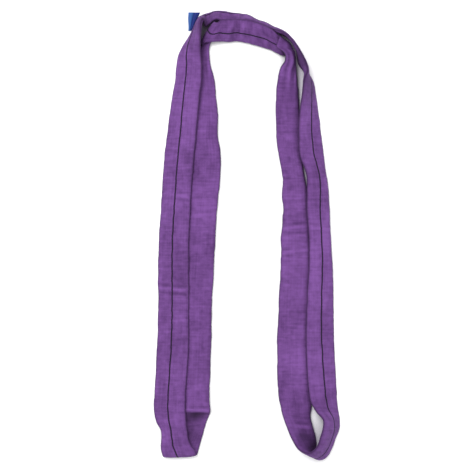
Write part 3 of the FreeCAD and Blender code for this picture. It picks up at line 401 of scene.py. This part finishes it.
def painted_shade(s, x, side):
    """Painted shade on shadowed and folded-in places: 0 none, 1 darkest."""
    d = 0 * s
    for place, middle, before, after, breadth, amount, marked in SHADE_PATCHES:
        if marked == 0 or marked * side > 0:
            near = bell(s, place, np.where(distance(s, place) < 0, before, after))
            d = np.maximum(d, amount * near * np.exp(-((x - middle) / breadth) ** 2))
    return d


def ruffle(s, end):
    """Small in-plane wander of a folded edge, in mm."""
    bridge = on_bridge(s, rear_weight=1, rear_reach=0.7)
    return ((0.40 + 0.45 * bridge) * noise(s, 0 * s, long=15, wide=40, seed=21 + end)
            + 0.22 * noise(s, 0 * s, long=5, wide=40, seed=23 + end))


def bulge(q):
    """Height of the flattened tube at width share q, as a share of the half thickness."""
    return np.clip(1 - np.abs(q) ** 3.0, 0, None) ** (1 / 2.2)


def skin(s, q, half, thick, side):
    """Distances across and outwards of the sleeve's outside at width share q."""
    x = q * (half + np.where(q > 0, ruffle(s, 0), ruffle(s, 1)) * q ** 2)
    return x, thick * bulge(q) + relief(s, x, half, side)


def points(lay, x, y):
    """Points x across and y towards the striped face, one row for each place of the lay."""
    centre, wide, face = (v[:, None, :] for v in lay[:3])
    return centre + wide * x[..., None] + face * y[..., None]


# ---------------------------------------------------------------- mesh helpers
def mesh_of(name, verts, faces, attributes=None, uvs=None, smooth=True):
    mesh = bpy.data.meshes.new(name)
    mesh.from_pydata((np.asarray(verts) * MM).tolist(), [], faces)
    mesh.update()
    if smooth:
        mesh.polygons.foreach_set("use_smooth", [True] * len(mesh.polygons))
    for key, values in (attributes or {}).items():
        attribute = mesh.attributes.new(key, "FLOAT", "POINT")
        attribute.data.foreach_set("value", np.asarray(values, np.float32))
    if uvs is not None:
        layer = mesh.uv_layers.new(name="weave")
        index = np.zeros(len(mesh.loops), np.int32)
        mesh.loops.foreach_get("vertex_index", index)
        layer.data.foreach_set("uv", np.asarray(uvs, np.float32)[index].ravel())
    ob = bpy.data.objects.new(name, mesh)
    bpy.context.scene.collection.objects.link(ob)
    return ob


def quads(rows, cols, start=0, flip=False):
    """Faces of a grid of rows x cols vertices, closed across its columns."""
    i, j = np.meshgrid(np.arange(rows - 1), np.arange(cols), indexing="ij")
    a, b = start + i * cols + j, start + i * cols + (j + 1) % cols
    f = np.stack([a, b, b + cols, a + cols], axis=-1).reshape(-1, 4)
    return (f[:, ::-1] if flip else f).tolist()


def caps(rows, cols, start=0, flip=False):
    """One face over the first row and one over the last."""
    way = -1 if flip else 1
    last = start + (rows - 1) * cols
    return [tuple(range(start, start + cols))[::way], tuple(range(last, last + cols))[::-way]]


def weave_uv(s, v):
    """Weave coordinates in metres: u along the loop, v across; both given in mm."""
    return np.stack(np.broadcast_arrays(s[:, None], v), axis=-1).reshape(-1, 2) * MM


# ---------------------------------------------------------------- sleeve, tracer and core
WALL_EDGE, WALL_FACE = 1.5, 1.2  # mm, wall at the folded edges and on the faces
SLEEVE_PITCH = 1.25              # mm between hoops of the outside
INNER_EVERY = 4                  # outer hoops per inner hoop
OTHER_FACE_V = 60                # mm, weave offset of the unstriped face
ACROSS = np.sin(np.linspace(-1, 1, 47) * math.pi / 2)
SIDES = ((ACROSS, 1.0), (ACROSS[::-1][1:-1], -1.0))  # width shares of each face


def around(shape):
    """Both faces' columns of shape(width shares, side), in order around the tube."""
    return np.concatenate([shape(q, side) for q, side in SIDES], axis=1)


def sleeve(name, s0, s1):
    """Hollow cloth tube with a wall and two cut ends."""
    n = math.ceil((s1 - s0) / SLEEVE_PITCH)
    if n % INNER_EVERY:
        n = ((n + 1) // INNER_EVERY + 1) * INNER_EVERY
    s = np.linspace(s0, s1, n + 1)
    lay = frames(s)
    inner_s, inner_lay = s[::INNER_EVERY], tuple(v[::INNER_EVERY] for v in lay)
    place, half, thick = s[:, None], lay[3][:, None], lay[4][:, None]
    inner_half, inner_thick = (v[:, None] for v in inner_lay[3:])

    def outside(q, side):
        x, y = skin(place, q, half, thick, side)
        return points(lay, x, side * y)

    def inside(q, side):
        y = side * (inner_thick - WALL_FACE) * bulge(q)
        return points(inner_lay, q * (inner_half - WALL_EDGE), y)

    verts = np.concatenate([around(outside).reshape(-1, 3), around(inside).reshape(-1, 3)])
    across = np.concatenate([q for q, _ in SIDES])
    cols = len(across)
    base = len(s) * cols
    faces = quads(len(s), cols, flip=True) + quads(len(inner_s), cols, base)
    a, b = (len(s) - 1) * cols, base + (len(inner_s) - 1) * cols
    for j in range(cols):  # the two cut ends
        k = (j + 1) % cols
        faces.append((j, k, base + k, base + j))
        faces.append((a + k, a + j, b + j, b + k))
    v = around(lambda q, side: q * half + (0 if side > 0 else OTHER_FACE_V))
    uvs = np.concatenate([weave_uv(s, v), weave_uv(inner_s, v[::INNER_EVERY])])
    # for painted light on the ridges and painted shade in the hollows
    ridges = around(lambda q, side: crest(place, q * half, half, side))
    # painted shade on the shadowed patches
    shade_paint = around(lambda q, side: painted_shade(place, q * half, side))
    plain = np.zeros(len(inner_s) * cols)
    looks = {
        "across": np.tile(across, len(s) + len(inner_s)),
        "crest": np.concatenate([ridges.ravel(), plain]),
        "painted_shade": np.concatenate([shade_paint.ravel(), plain]),
    }
    return mesh_of("sleeve_" + name + "_cloth", verts, faces, looks, uvs)


TRACER_PITCH = 2.24      # mm, one stitch of the tracer
TRACER_HALF = 1.32       # mm, half width where the sleeve is wide enough
TRACER_PROFILE = np.array([  # share of the width, rise above the cloth in mm
    (0.0, -0.10), (0.22, 0.16), (0.5, 0.24), (0.78, 0.16), (1.0, -0.10),
    (0.8, -0.30), (0.2, -0.30),
])


def stripe(name, s0, s1):
    """Raised tracer with a saw-toothed outline, along the striped face."""
    n = int(round((s1 - s0) / (TRACER_PITCH / 4)))
    s = np.linspace(s0, s1, n + 1)
    lay = frames(s)
    half, thick = lay[3], lay[4]
    middle = spread(TRACER_SHARE, s) * half
    saw = np.mod(s, TRACER_PITCH) / TRACER_PITCH
    wander = 0.35 * noise(s, 0 * s, long=9, wide=40, seed=31)
    reach = np.minimum(TRACER_HALF, 0.10 * half)
    shift = (0.62 * saw - 0.30 + wander) * (reach / TRACER_HALF)
    left, right = (middle - reach + shift)[:, None], (middle + reach + shift)[:, None]
    share, rise = TRACER_PROFILE.T
    q = np.clip((left + (right - left) * share) / half[:, None], -0.999, 0.999)
    x, y = skin(s[:, None], q, half[:, None], thick[:, None], 1.0)
    ridge = 0.07 * np.sin(saw * 2 * math.pi)[:, None]
    verts = points(lay, x, y + rise + np.where(rise > 0, ridge, 0)).reshape(-1, 3)
    cols = len(share)
    faces = quads(len(s), cols) + caps(len(s), cols)
    return mesh_of("tracer_" + name, verts, faces, None, weave_uv(s, share * 3.0))


STRANDS, STRAND_SIDES, STRAND_PITCH = 5, 12, 3.0  # pitch: mm between rings


def hank(name, s0, s1):
    """Flattened core strands side by side inside the sleeve."""
    s = np.linspace(s0, s1, math.ceil((s1 - s0) / STRAND_PITCH) + 1)
    lay = frames(s)
    half, thick = (lay[3] - WALL_EDGE)[:, None], (lay[4] - WALL_FACE)[:, None]
    turn = 2 * math.pi * np.arange(STRAND_SIDES) / STRAND_SIDES
    verts, faces = [], []
    for k in range(STRANDS):
        q = 2 * (0.5 + ((k + 0.5) / STRANDS - 0.5) * 0.87) - 1
        x = q * half + np.cos(turn) * 2 * half * 0.37 / STRANDS
        y = np.sin(turn) * (thick * bulge(q)) * 0.5
        verts.append(points(lay, x, y).reshape(-1, 3))
        start = k * len(s) * STRAND_SIDES
        faces += quads(len(s), STRAND_SIDES, start, flip=True)
        faces += caps(len(s), STRAND_SIDES, start)
    uvs = np.tile(weave_uv(s, np.arange(STRAND_SIDES) * 1.0), (STRANDS, 1))
    return mesh_of("hank_" + name, np.concatenate(verts), faces, None, uvs)


# ---------------------------------------------------------------- materials
def opaque(colour, share=1.0):
    return tuple(share * c for c in colour) + (1,)


class Shader:
    """A new material with a Principled shader, and short ways to add nodes to it."""

    def __init__(self, name):
        self.material = bpy.data.materials.new(name)
        self.material.use_nodes = True
        self.tree = self.material.node_tree
        self.tree.nodes.clear()
        output = self.add("OutputMaterial")
        self.bsdf = self.add("BsdfPrincipled")
        self.feed(output, {0: self.bsdf.outputs[0]})

    def feed(self, node, inputs):
        """Link sockets to a node's inputs, or set them to plain values."""
        for key, value in inputs.items():
            if isinstance(value, bpy.types.NodeSocket):
                self.tree.links.new(value, node.inputs[key])
            else:
                node.inputs[key].default_value = value

    def add(self, kind, inputs=None, **settings):
        node = self.tree.nodes.new("ShaderNode" + kind)
        for key, value in settings.items():
            setattr(node, key, value)
        self.feed(node, inputs or {})
        return node

    def maths(self, operation, *values):
        return self.add("Math", dict(enumerate(values)), operation=operation).outputs[0]

    def mix(self, factor, a, b):
        return self.add("Mix", {0: factor, 6: a, 7: b}, data_type="RGBA").outputs[2]

    def clamp(self, value):
        return self.add("Clamp", {0: value}).outputs[0]

    def attribute(self, name):
        return self.add("Attribute", attribute_name=name).outputs["Fac"]

    def place(self):
        return self.add("TexCoord").outputs["Object"]

    def noise(self, scale, detail, rough=0.5, vector=None):
        if vector is None:
            vector = self.place()
        inputs = {"Scale": scale, "Detail": detail, "Roughness": rough, "Vector": vector}
        return self.add("TexNoise", inputs).outputs[0]

    def openness(self, samples, distance):
        """1 in the open, towards 0 where other surfaces close in; distance in metres."""
        node = self.add("AmbientOcclusion", {"Distance": distance}, samples=samples)
        return node.outputs["AO"]


def woven(name, light, dark, *, sheen, depth, pitch=2.0, warp=1.4, rough=0.82,
          contrast=0.35, edge=0.0, ridge_shading=0.0, hollow_shading=0.0, fold_shade=None):
    """A woven cloth: ribs across, yarns along, blotches, fuzz and a soft sheen.

    pitch and warp are the rib and yarn spacing in mm, depth the bump in m. edge paints shade
    on the folded edges, ridge_shading paints light on ridges and shade in hollows,
    hollow_shading paints shade where other surfaces close in and turns on the painted_shade
    patches, and fold_shade is the painted shade colour of the tape's layer under its fold.
    """
    sh = Shader(name)
    maths = sh.maths
    weave = sh.add("UVMap", uv_map="weave").outputs[0]
    separate = sh.add("SeparateXYZ", {0: weave})
    u, v = separate.outputs[0], separate.outputs[1]

    def phase(axis, spacing):
        return maths("MULTIPLY", axis, 2 * math.pi / (spacing * MM))

    rib = maths("SINE", phase(u, pitch))
    yarn = maths("SINE", phase(v, warp))
    alternate = maths("SINE", phase(u, 2 * pitch))
    twill = maths("SINE", maths("ADD", phase(u, 2 * pitch), phase(v, 2 * warp)))
    # bands: picks beaten up closer and looser; ends: yarns that run a shade darker
    band_place = sh.add("CombineXYZ")
    sh.feed(band_place, {0: maths("MULTIPLY", u, 1.0)})
    sh.feed(band_place, {1: maths("MULTIPLY", v, 0.10)})
    bands = sh.noise(scale=330.0, detail=2.0, vector=band_place.outputs[0])
    end_place = sh.add("CombineXYZ")
    sh.feed(end_place, {0: maths("MULTIPLY", u, 0.045), 1: v})
    ends = sh.noise(scale=420.0, detail=2.0, vector=end_place.outputs[0])
    height = maths("ADD", maths("MULTIPLY", rib, 0.5),
                   maths("MULTIPLY", maths("MULTIPLY", yarn, alternate), 0.35))
    height = maths("ADD", height, maths("MULTIPLY", twill, 0.18))
    fuzz = sh.noise(scale=900.0, detail=2.0)
    blotch = sh.noise(scale=14.0, detail=4.0, rough=0.6)
    fine = sh.noise(scale=160.0, detail=2.0)
    # tone: 0 the dark colour, 1 the light one; each grain with its weight
    tone = maths("MULTIPLY", height, 0.16 * contrast)
    for grain, weight in ((fuzz, 0.5), (blotch, 2.2), (fine, 0.9), (bands, 0.95), (ends, 0.75)):
        swing = maths("MULTIPLY", maths("SUBTRACT", grain, 0.5), weight * contrast)
        tone = maths("ADD", tone, swing)
    tone = maths("ADD", tone, 0.5)
    # painted light and shade: ridges of the relief lighter, its hollows darker
    if ridge_shading > 0:
        tone = maths("ADD", tone, maths("MULTIPLY", sh.attribute("crest"), ridge_shading))
    colour = sh.mix(sh.clamp(tone), opaque(dark), opaque(light))
    # painted shade along the folded edges, where the rounded edge turns from the light
    if edge > 0:
        near = maths("POWER", maths("ABSOLUTE", sh.attribute("across")), 22.0)
        colour = sh.mix(maths("MULTIPLY", near, edge), colour, opaque(dark, 0.30))
    if hollow_shading > 0:
        # painted shade: darker on the sleeve's shadowed patches
        colour = sh.mix(sh.attribute("painted_shade"), colour, opaque(dark, 0.22))
        # painted shade: the cloth darker where other surfaces close in
        is_open = sh.openness(samples=6, distance=0.030)
        shut = sh.clamp(maths("MULTIPLY", maths("SUBTRACT", 0.62, is_open), 1.9))
        colour = sh.mix(maths("MULTIPLY", shut, hollow_shading), colour, opaque(dark, 0.12))
    # painted shade on the tape's layer under its fold
    if fold_shade:
        colour = sh.mix(sh.attribute("fold_shade"), colour, opaque(fold_shade))
    sh.feed(sh.bsdf, {
        "Base Color": colour,
        "Roughness": rough,
        "Specular IOR Level": 0.22,
        "Sheen Weight": sheen,
        "Sheen Roughness": 0.45,
        "Sheen Tint": tuple(min(1.0, 2.2 * c) for c in light) + (1,),
    })
    bump = sh.add("Bump", {"Strength": 0.9, "Distance": depth})
    sh.feed(bump, {"Height": maths("ADD", height, maths("MULTIPLY", fuzz, 0.6))})
    sh.feed(sh.bsdf, {"Normal": bump.outputs[0]})
    return sh.material


def threaded(name, light, dark, *, scale, rough, depth=0.0001):
    """Plain thread, tape or film for parts that carry no weave coordinates."""
    sh = Shader(name)
    grain = sh.noise(scale=scale, detail=3.0)
    wave = sh.add("TexWave", {"Scale": scale * 0.6, "Distortion": 2.0})
    sh.feed(wave, {"Vector": sh.place()})
    tone = sh.maths("ADD", sh.maths("MULTIPLY", grain, 0.6),
                    sh.maths("MULTIPLY", wave.outputs["Fac"], 0.4))
    colour = sh.mix(tone, opaque(dark), opaque(light))
    sh.feed(sh.bsdf, {"Base Color": colour, "Roughness": rough, "Specular IOR Level": 0.3})
    bump = sh.add("Bump", {"Strength": 0.6, "Distance": depth, "Height": tone})
    sh.feed(sh.bsdf, {"Normal": bump.outputs[0]})
    return sh.material


VIOLET = woven("violet_sleeve_weave", (0.170, 0.066, 0.264), (0.072, 0.024, 0.116),
               edge=0.8, sheen=0.10, contrast=0.78, depth=0.0004, ridge_shading=0.50, hollow_shading=0.75)
TRACER = woven("black_tracer_yarn", (0.016, 0.006, 0.028), (0.005, 0.002, 0.010),
               pitch=TRACER_PITCH, warp=0.8, sheen=0.02, depth=0.00015)
YARN = threaded("white_core_yarn", (0.72, 0.71, 0.66), (0.50, 0.49, 0.45),
                scale=700.0, rough=0.6)
TAPE = threaded("core_tie_tape_weave", (0.62, 0.60, 0.52), (0.42, 0.40, 0.34),
                scale=900.0, rough=0.8)
LAPPED = threaded("violet_lap_weave", (0.13, 0.055, 0.20), (0.09, 0.035, 0.14),
                  scale=700.0, rough=0.85)
THREAD = threaded("violet_sewing_thread", (0.10, 0.035, 0.16), (0.06, 0.022, 0.10),
                  scale=1400.0, rough=0.55)
FILM = threaded("tag_film", (0.55, 0.55, 0.56), (0.47, 0.47, 0.49),
                scale=60.0, rough=0.4, depth=0.00002)
# the third colour is painted shade for the tape's layer under its fold
LABEL_FACE = woven("blue_label_tape", (0.042, 0.112, 0.330), (0.018, 0.066, 0.235),
                   pitch=0.9, warp=0.7, sheen=0.0, rough=0.55, depth=0.00008,
                   contrast=0.5, fold_shade=(0.003, 0.014, 0.150))
LABEL_THREAD = threaded("blue_label_thread", (0.030, 0.060, 0.200), (0.012, 0.028, 0.110),
                        scale=1400.0, rough=0.5)


def dress(ob, material, slot_name):
    ob.data.materials.clear()
    ob.data.materials.append(material)
    return ob


# ---------------------------------------------------------------- sleeve pieces, one set per span
LEFT_SWING, RIGHT_SWING, FOLD = 0.2360, 0.2120, -0.0380  # m, y of the joints
SWING_REACH, FOLD_REACH = 0.034, 0.009  # m, reach each side of a joint
OVER_LEFT, UNDER_LEFT = place_of("left_upper", 95.0), place_of("left_lower", 95.0)
OVER_RIGHT, UNDER_RIGHT = place_of("right_upper", 85.0), place_of("right_lower", 85.0)
LEFT_LEG = (("bridge", "left_leg"), LEFT_SWING, SWING_REACH)
RIGHT_LEG = (("bridge", "right_leg"), RIGHT_SWING, SWING_REACH)
RIGHT_FOOT = (("right_leg", "right_foot"), FOLD, FOLD_REACH)
LEFT_FOOT = (("left_leg", "left_foot"), FOLD, FOLD_REACH)
SPANS = {  # name: from, to, joint, suffixes of the CAD nodes it stands for
    "left_over": (OVER_LEFT, MIDDLE_REAR, LEFT_LEG, ("left_over", "bridge_rear")),
    "right_over": (MIDDLE_REAR, OVER_RIGHT, RIGHT_LEG, ("right_over", "bridge_rear")),
    "right_eye": (OVER_RIGHT, UNDER_RIGHT, RIGHT_FOOT, ("right_eye",)),
    "right_under": (UNDER_RIGHT, MIDDLE_FRONT, RIGHT_LEG, ("right_under", "bridge_front")),
    "left_under": (MIDDLE_FRONT, UNDER_LEFT, LEFT_LEG, ("left_under", "bridge_front")),
    "left_bight": (UNDER_LEFT, OVER_LEFT + LENGTH, LEFT_FOOT, ("left_bight",)),
}

for name, (s0, s1, (bodies, joint_y, reach), stands) in SPANS.items():
    made = [
        (dress(sleeve(name, s0, s1), VIOLET, "sleeve_fabric"), "sleeve_"),
        (dress(stripe(name, s0, s1), TRACER, "stripe_yarn"), "tracer_stripe_"),
        (dress(hank(name, s0, s1), YARN, "core_yarn"), "core_yarns_"),
    ]
    for ob, prefix in made:
        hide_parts(*[prefix + suffix for suffix in stands])
        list(bodies)
        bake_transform(ob)

# ---------------------------------------------------------------- the label
(X0, Y0, Z0), (X1, Y1, Z1) = [tuple(v * 1000 for v in p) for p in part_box("label")]
SEWN_FOOT_X = X0 + 5.0  # the sewn edge slants from here at Y0 to X1 at Y1


def label_tape():
    """Tape folded back on itself along its left side, with a flap widening towards +Y."""
    rows, sheet, fold_in = 60, 0.36, 0.45
    bend = (0.6, 1.2, 1.57, 1.95, 2.5)  # radians around the fold
    verts, uvs, fold_shade = [], [], []
    for i in range(rows + 1):
        f = i / rows
        y = Y0 + (Y1 - Y0) * f
        fold = X0 + fold_in + 0.22 * math.sin(7.0 * f)
        right = SEWN_FOOT_X + (X1 - SEWN_FOOT_X) * f
        flap = 2.7 + 5.7 * f ** 1.15
        free = flap - fold_in
        low, high = Z0 + 0.22, Z1 - 0.24 + 0.30 * math.sin(2.1 * f + 0.4) ** 2
        middle, r = (low + high) / 2, (high - low) / 2
        # middle line of the sheet: x, z, share of the painted shade on the layer under the fold
        line = [(right, low, 1.0), (0.66 * right + 0.34 * fold, low, 1.0),
                (0.33 * right + 0.67 * fold, low, 1.0), (fold, low, 0.6)]
        line += [(fold - r * math.sin(t), middle - r * math.cos(t), 0.15) for t in bend]
        line += [(fold, high, 0.0), (fold + 0.30 * free, high + 0.12, 0.0),
                 (fold + 0.62 * free, high + 0.10, 0.0), (X0 + flap, high - 0.02, 0.25)]
        path = np.array([(p[0], p[1]) for p in line])
        way = np.gradient(path, axis=0)
        normal = unit(np.stack([-way[:, 1], way[:, 0]], axis=1))
        lengths = np.linalg.norm(np.diff(path, axis=0), axis=1)
        gone = np.concatenate([[0], np.cumsum(lengths)])
        thin = np.full(len(path), sheet / 2)
        thin[0] = thin[-1] = sheet * 0.32
        for side in (1, -1):
            for k in range(len(path))[::side]:
                x, z = path[k] + normal[k] * side * thin[k]
                verts.append((x, y, z))
                uvs.append((gone[k] * MM, y * MM))
                fold_shade.append(line[k][2])
    cols = len(verts) // (rows + 1)
    faces = quads(rows + 1, cols)
    for b, way in ((0, 1), (rows * cols, -1)):  # the two cut edges, as a strip of quads
        for k in range(cols // 2 - 1):
            faces.append((b + k, b + k + 1, b + cols - 2 - k, b + cols - 1 - k)[::way])
    return mesh_of("label_tape_folded", verts, faces, {"fold_shade": fold_shade}, uvs)


def label_stitches():
    """A row of short pulled-down stitches along the label's sewn edge."""
    pitch, inset, radius_across, radius_up, sides = 3.4, 1.9, 0.34, 0.16, 8
    rings = ((-1.1, 0.35), (-0.85, 0.85), (0.0, 1.0), (0.85, 0.85), (1.1, 0.35))  # along, fatness
    foot, head = np.array([SEWN_FOOT_X, Y0]), np.array([X1, Y1])
    span = float(np.linalg.norm(head - foot))
    line = (head - foot) / span
    inward = np.array([-line[1], line[0]])
    verts, faces = [], []
    for k in range(int(span / pitch)):
        middle = foot + line * ((k + 0.5) * pitch) + inward * inset
        start = len(verts)
        for t, fat in rings:
            centre_z = Z0 + 0.44 - 0.05 * (abs(t) > 1)  # the ends sink into the tape
            for j in range(sides):
                turn = 2 * math.pi * j / sides
                x, y = middle + line * t + inward * (radius_across * fat * math.cos(turn))
                verts.append((x, y, centre_z + radius_up * fat * math.sin(turn)))
        faces += quads(len(rings), sides, start) + caps(len(rings), sides, start, flip=True)
    return mesh_of("label_stitches", verts, faces)


label_piece = dress(label_tape(), LABEL_FACE, "label_tape")
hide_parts("label")
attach(label_piece, "label")
stitch_piece = dress(label_stitches(), LABEL_THREAD, "seam_thread")
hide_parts("label_thread")
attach(stitch_piece, "label")

# ---------------------------------------------------------------- CAD nodes that keep their shape
KEPT = {
    "core_tie": (TAPE, "tie_tape"),  # every node whose name starts so
    "sleeve_lap": (LAPPED, "sleeve_fabric"),
    "traceability_tag": (FILM, "tag_film"),
    "closing_seam_thread": (THREAD, "seam_thread"),
}
for node_name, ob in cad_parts.items():
    key = "core_tie" if node_name.startswith("core_tie") else node_name
    if key in KEPT:
        dress(ob, *KEPT[key])


# ---------------------------------------------------------------- floor, light and camera
def floor():
    """Pale square floor with painted shade: darker where the sleeve closes in around it."""
    reach, n = 9000.0, 8  # mm from the middle to each side, squares each way
    ticks = [(i / n - 0.5) * 2 * reach for i in range(n + 1)]
    verts = [(x, y, 0.0) for x in ticks for y in ticks]
    corners = [i * (n + 1) + j for i in range(n) for j in range(n)]
    faces = [(a, a + n + 1, a + n + 2, a + 1) for a in corners]
    ob = mesh_of("floor", verts, faces, smooth=False)
    sh = Shader("pale_floor")
    is_open = sh.openness(samples=12, distance=0.06)
    limits = {"From Min": 0.12, "From Max": 0.56, "To Min": 0.0, "To Max": 1.0, "Value": is_open}
    ramp = sh.add("MapRange", limits, interpolation_type="SMOOTHSTEP").outputs["Result"]
    # painted shadow: dark grey-violet on the floor where the sleeve closes in
    colour = sh.mix(ramp, (0.27, 0.24, 0.31, 1), (0.93, 0.93, 0.935, 1))
    sh.feed(sh.bsdf, {"Base Color": colour, "Roughness": 0.95, "Specular IOR Level": 0.05})
    ob.data.materials.append(sh.material)
    return ob


def lamp(name, where, size, watts):
    """Round area lamp aimed at the origin."""
    data = bpy.data.lights.new(name, "AREA")
    data.shape = "DISK"
    data.size = size
    data.energy = watts
    ob = bpy.data.objects.new(name, data)
    scene.collection.objects.link(ob)
    ob.location = where
    ob.rotation_mode = "QUATERNION"
    ob.rotation_quaternion = (-Vector(where)).to_track_quat("-Z", "Y")


def overhead_camera(height=2.5, half_view=0.3555, sensor=36.0):
    """Camera looking straight down; half_view is the half width seen on the floor, in m."""
    data = bpy.data.cameras.new("camera")
    data.sensor_width = sensor
    data.lens = sensor / 2 / (half_view / height)
    data.clip_start, data.clip_end = 0.05, 60.0
    ob = bpy.data.objects.new("camera", data)
    scene.collection.objects.link(ob)
    ob.location = (-0.01493, -0.00240, height)
    return ob


floor()
scene = bpy.context.scene
scene.world = bpy.data.worlds.new("studio")
scene.world.use_nodes = True
background = scene.world.node_tree.nodes["Background"]
background.inputs["Color"].default_value = (1.0, 1.0, 1.0, 1)
background.inputs["Strength"].default_value = 0.9
lamp("key", where=(-0.8, 1.0, 2.6), size=1.4, watts=62.0)
lamp("fill", where=(1.2, -0.6, 2.4), size=1.8, watts=14.0)
scene.camera = overhead_camera()
scene.view_settings.view_transform = "Standard"
scene.view_settings.look = "None"
scene.view_settings.exposure = 0.0
scene.view_settings.gamma = 1.0

bpy.context.view_layer.update()
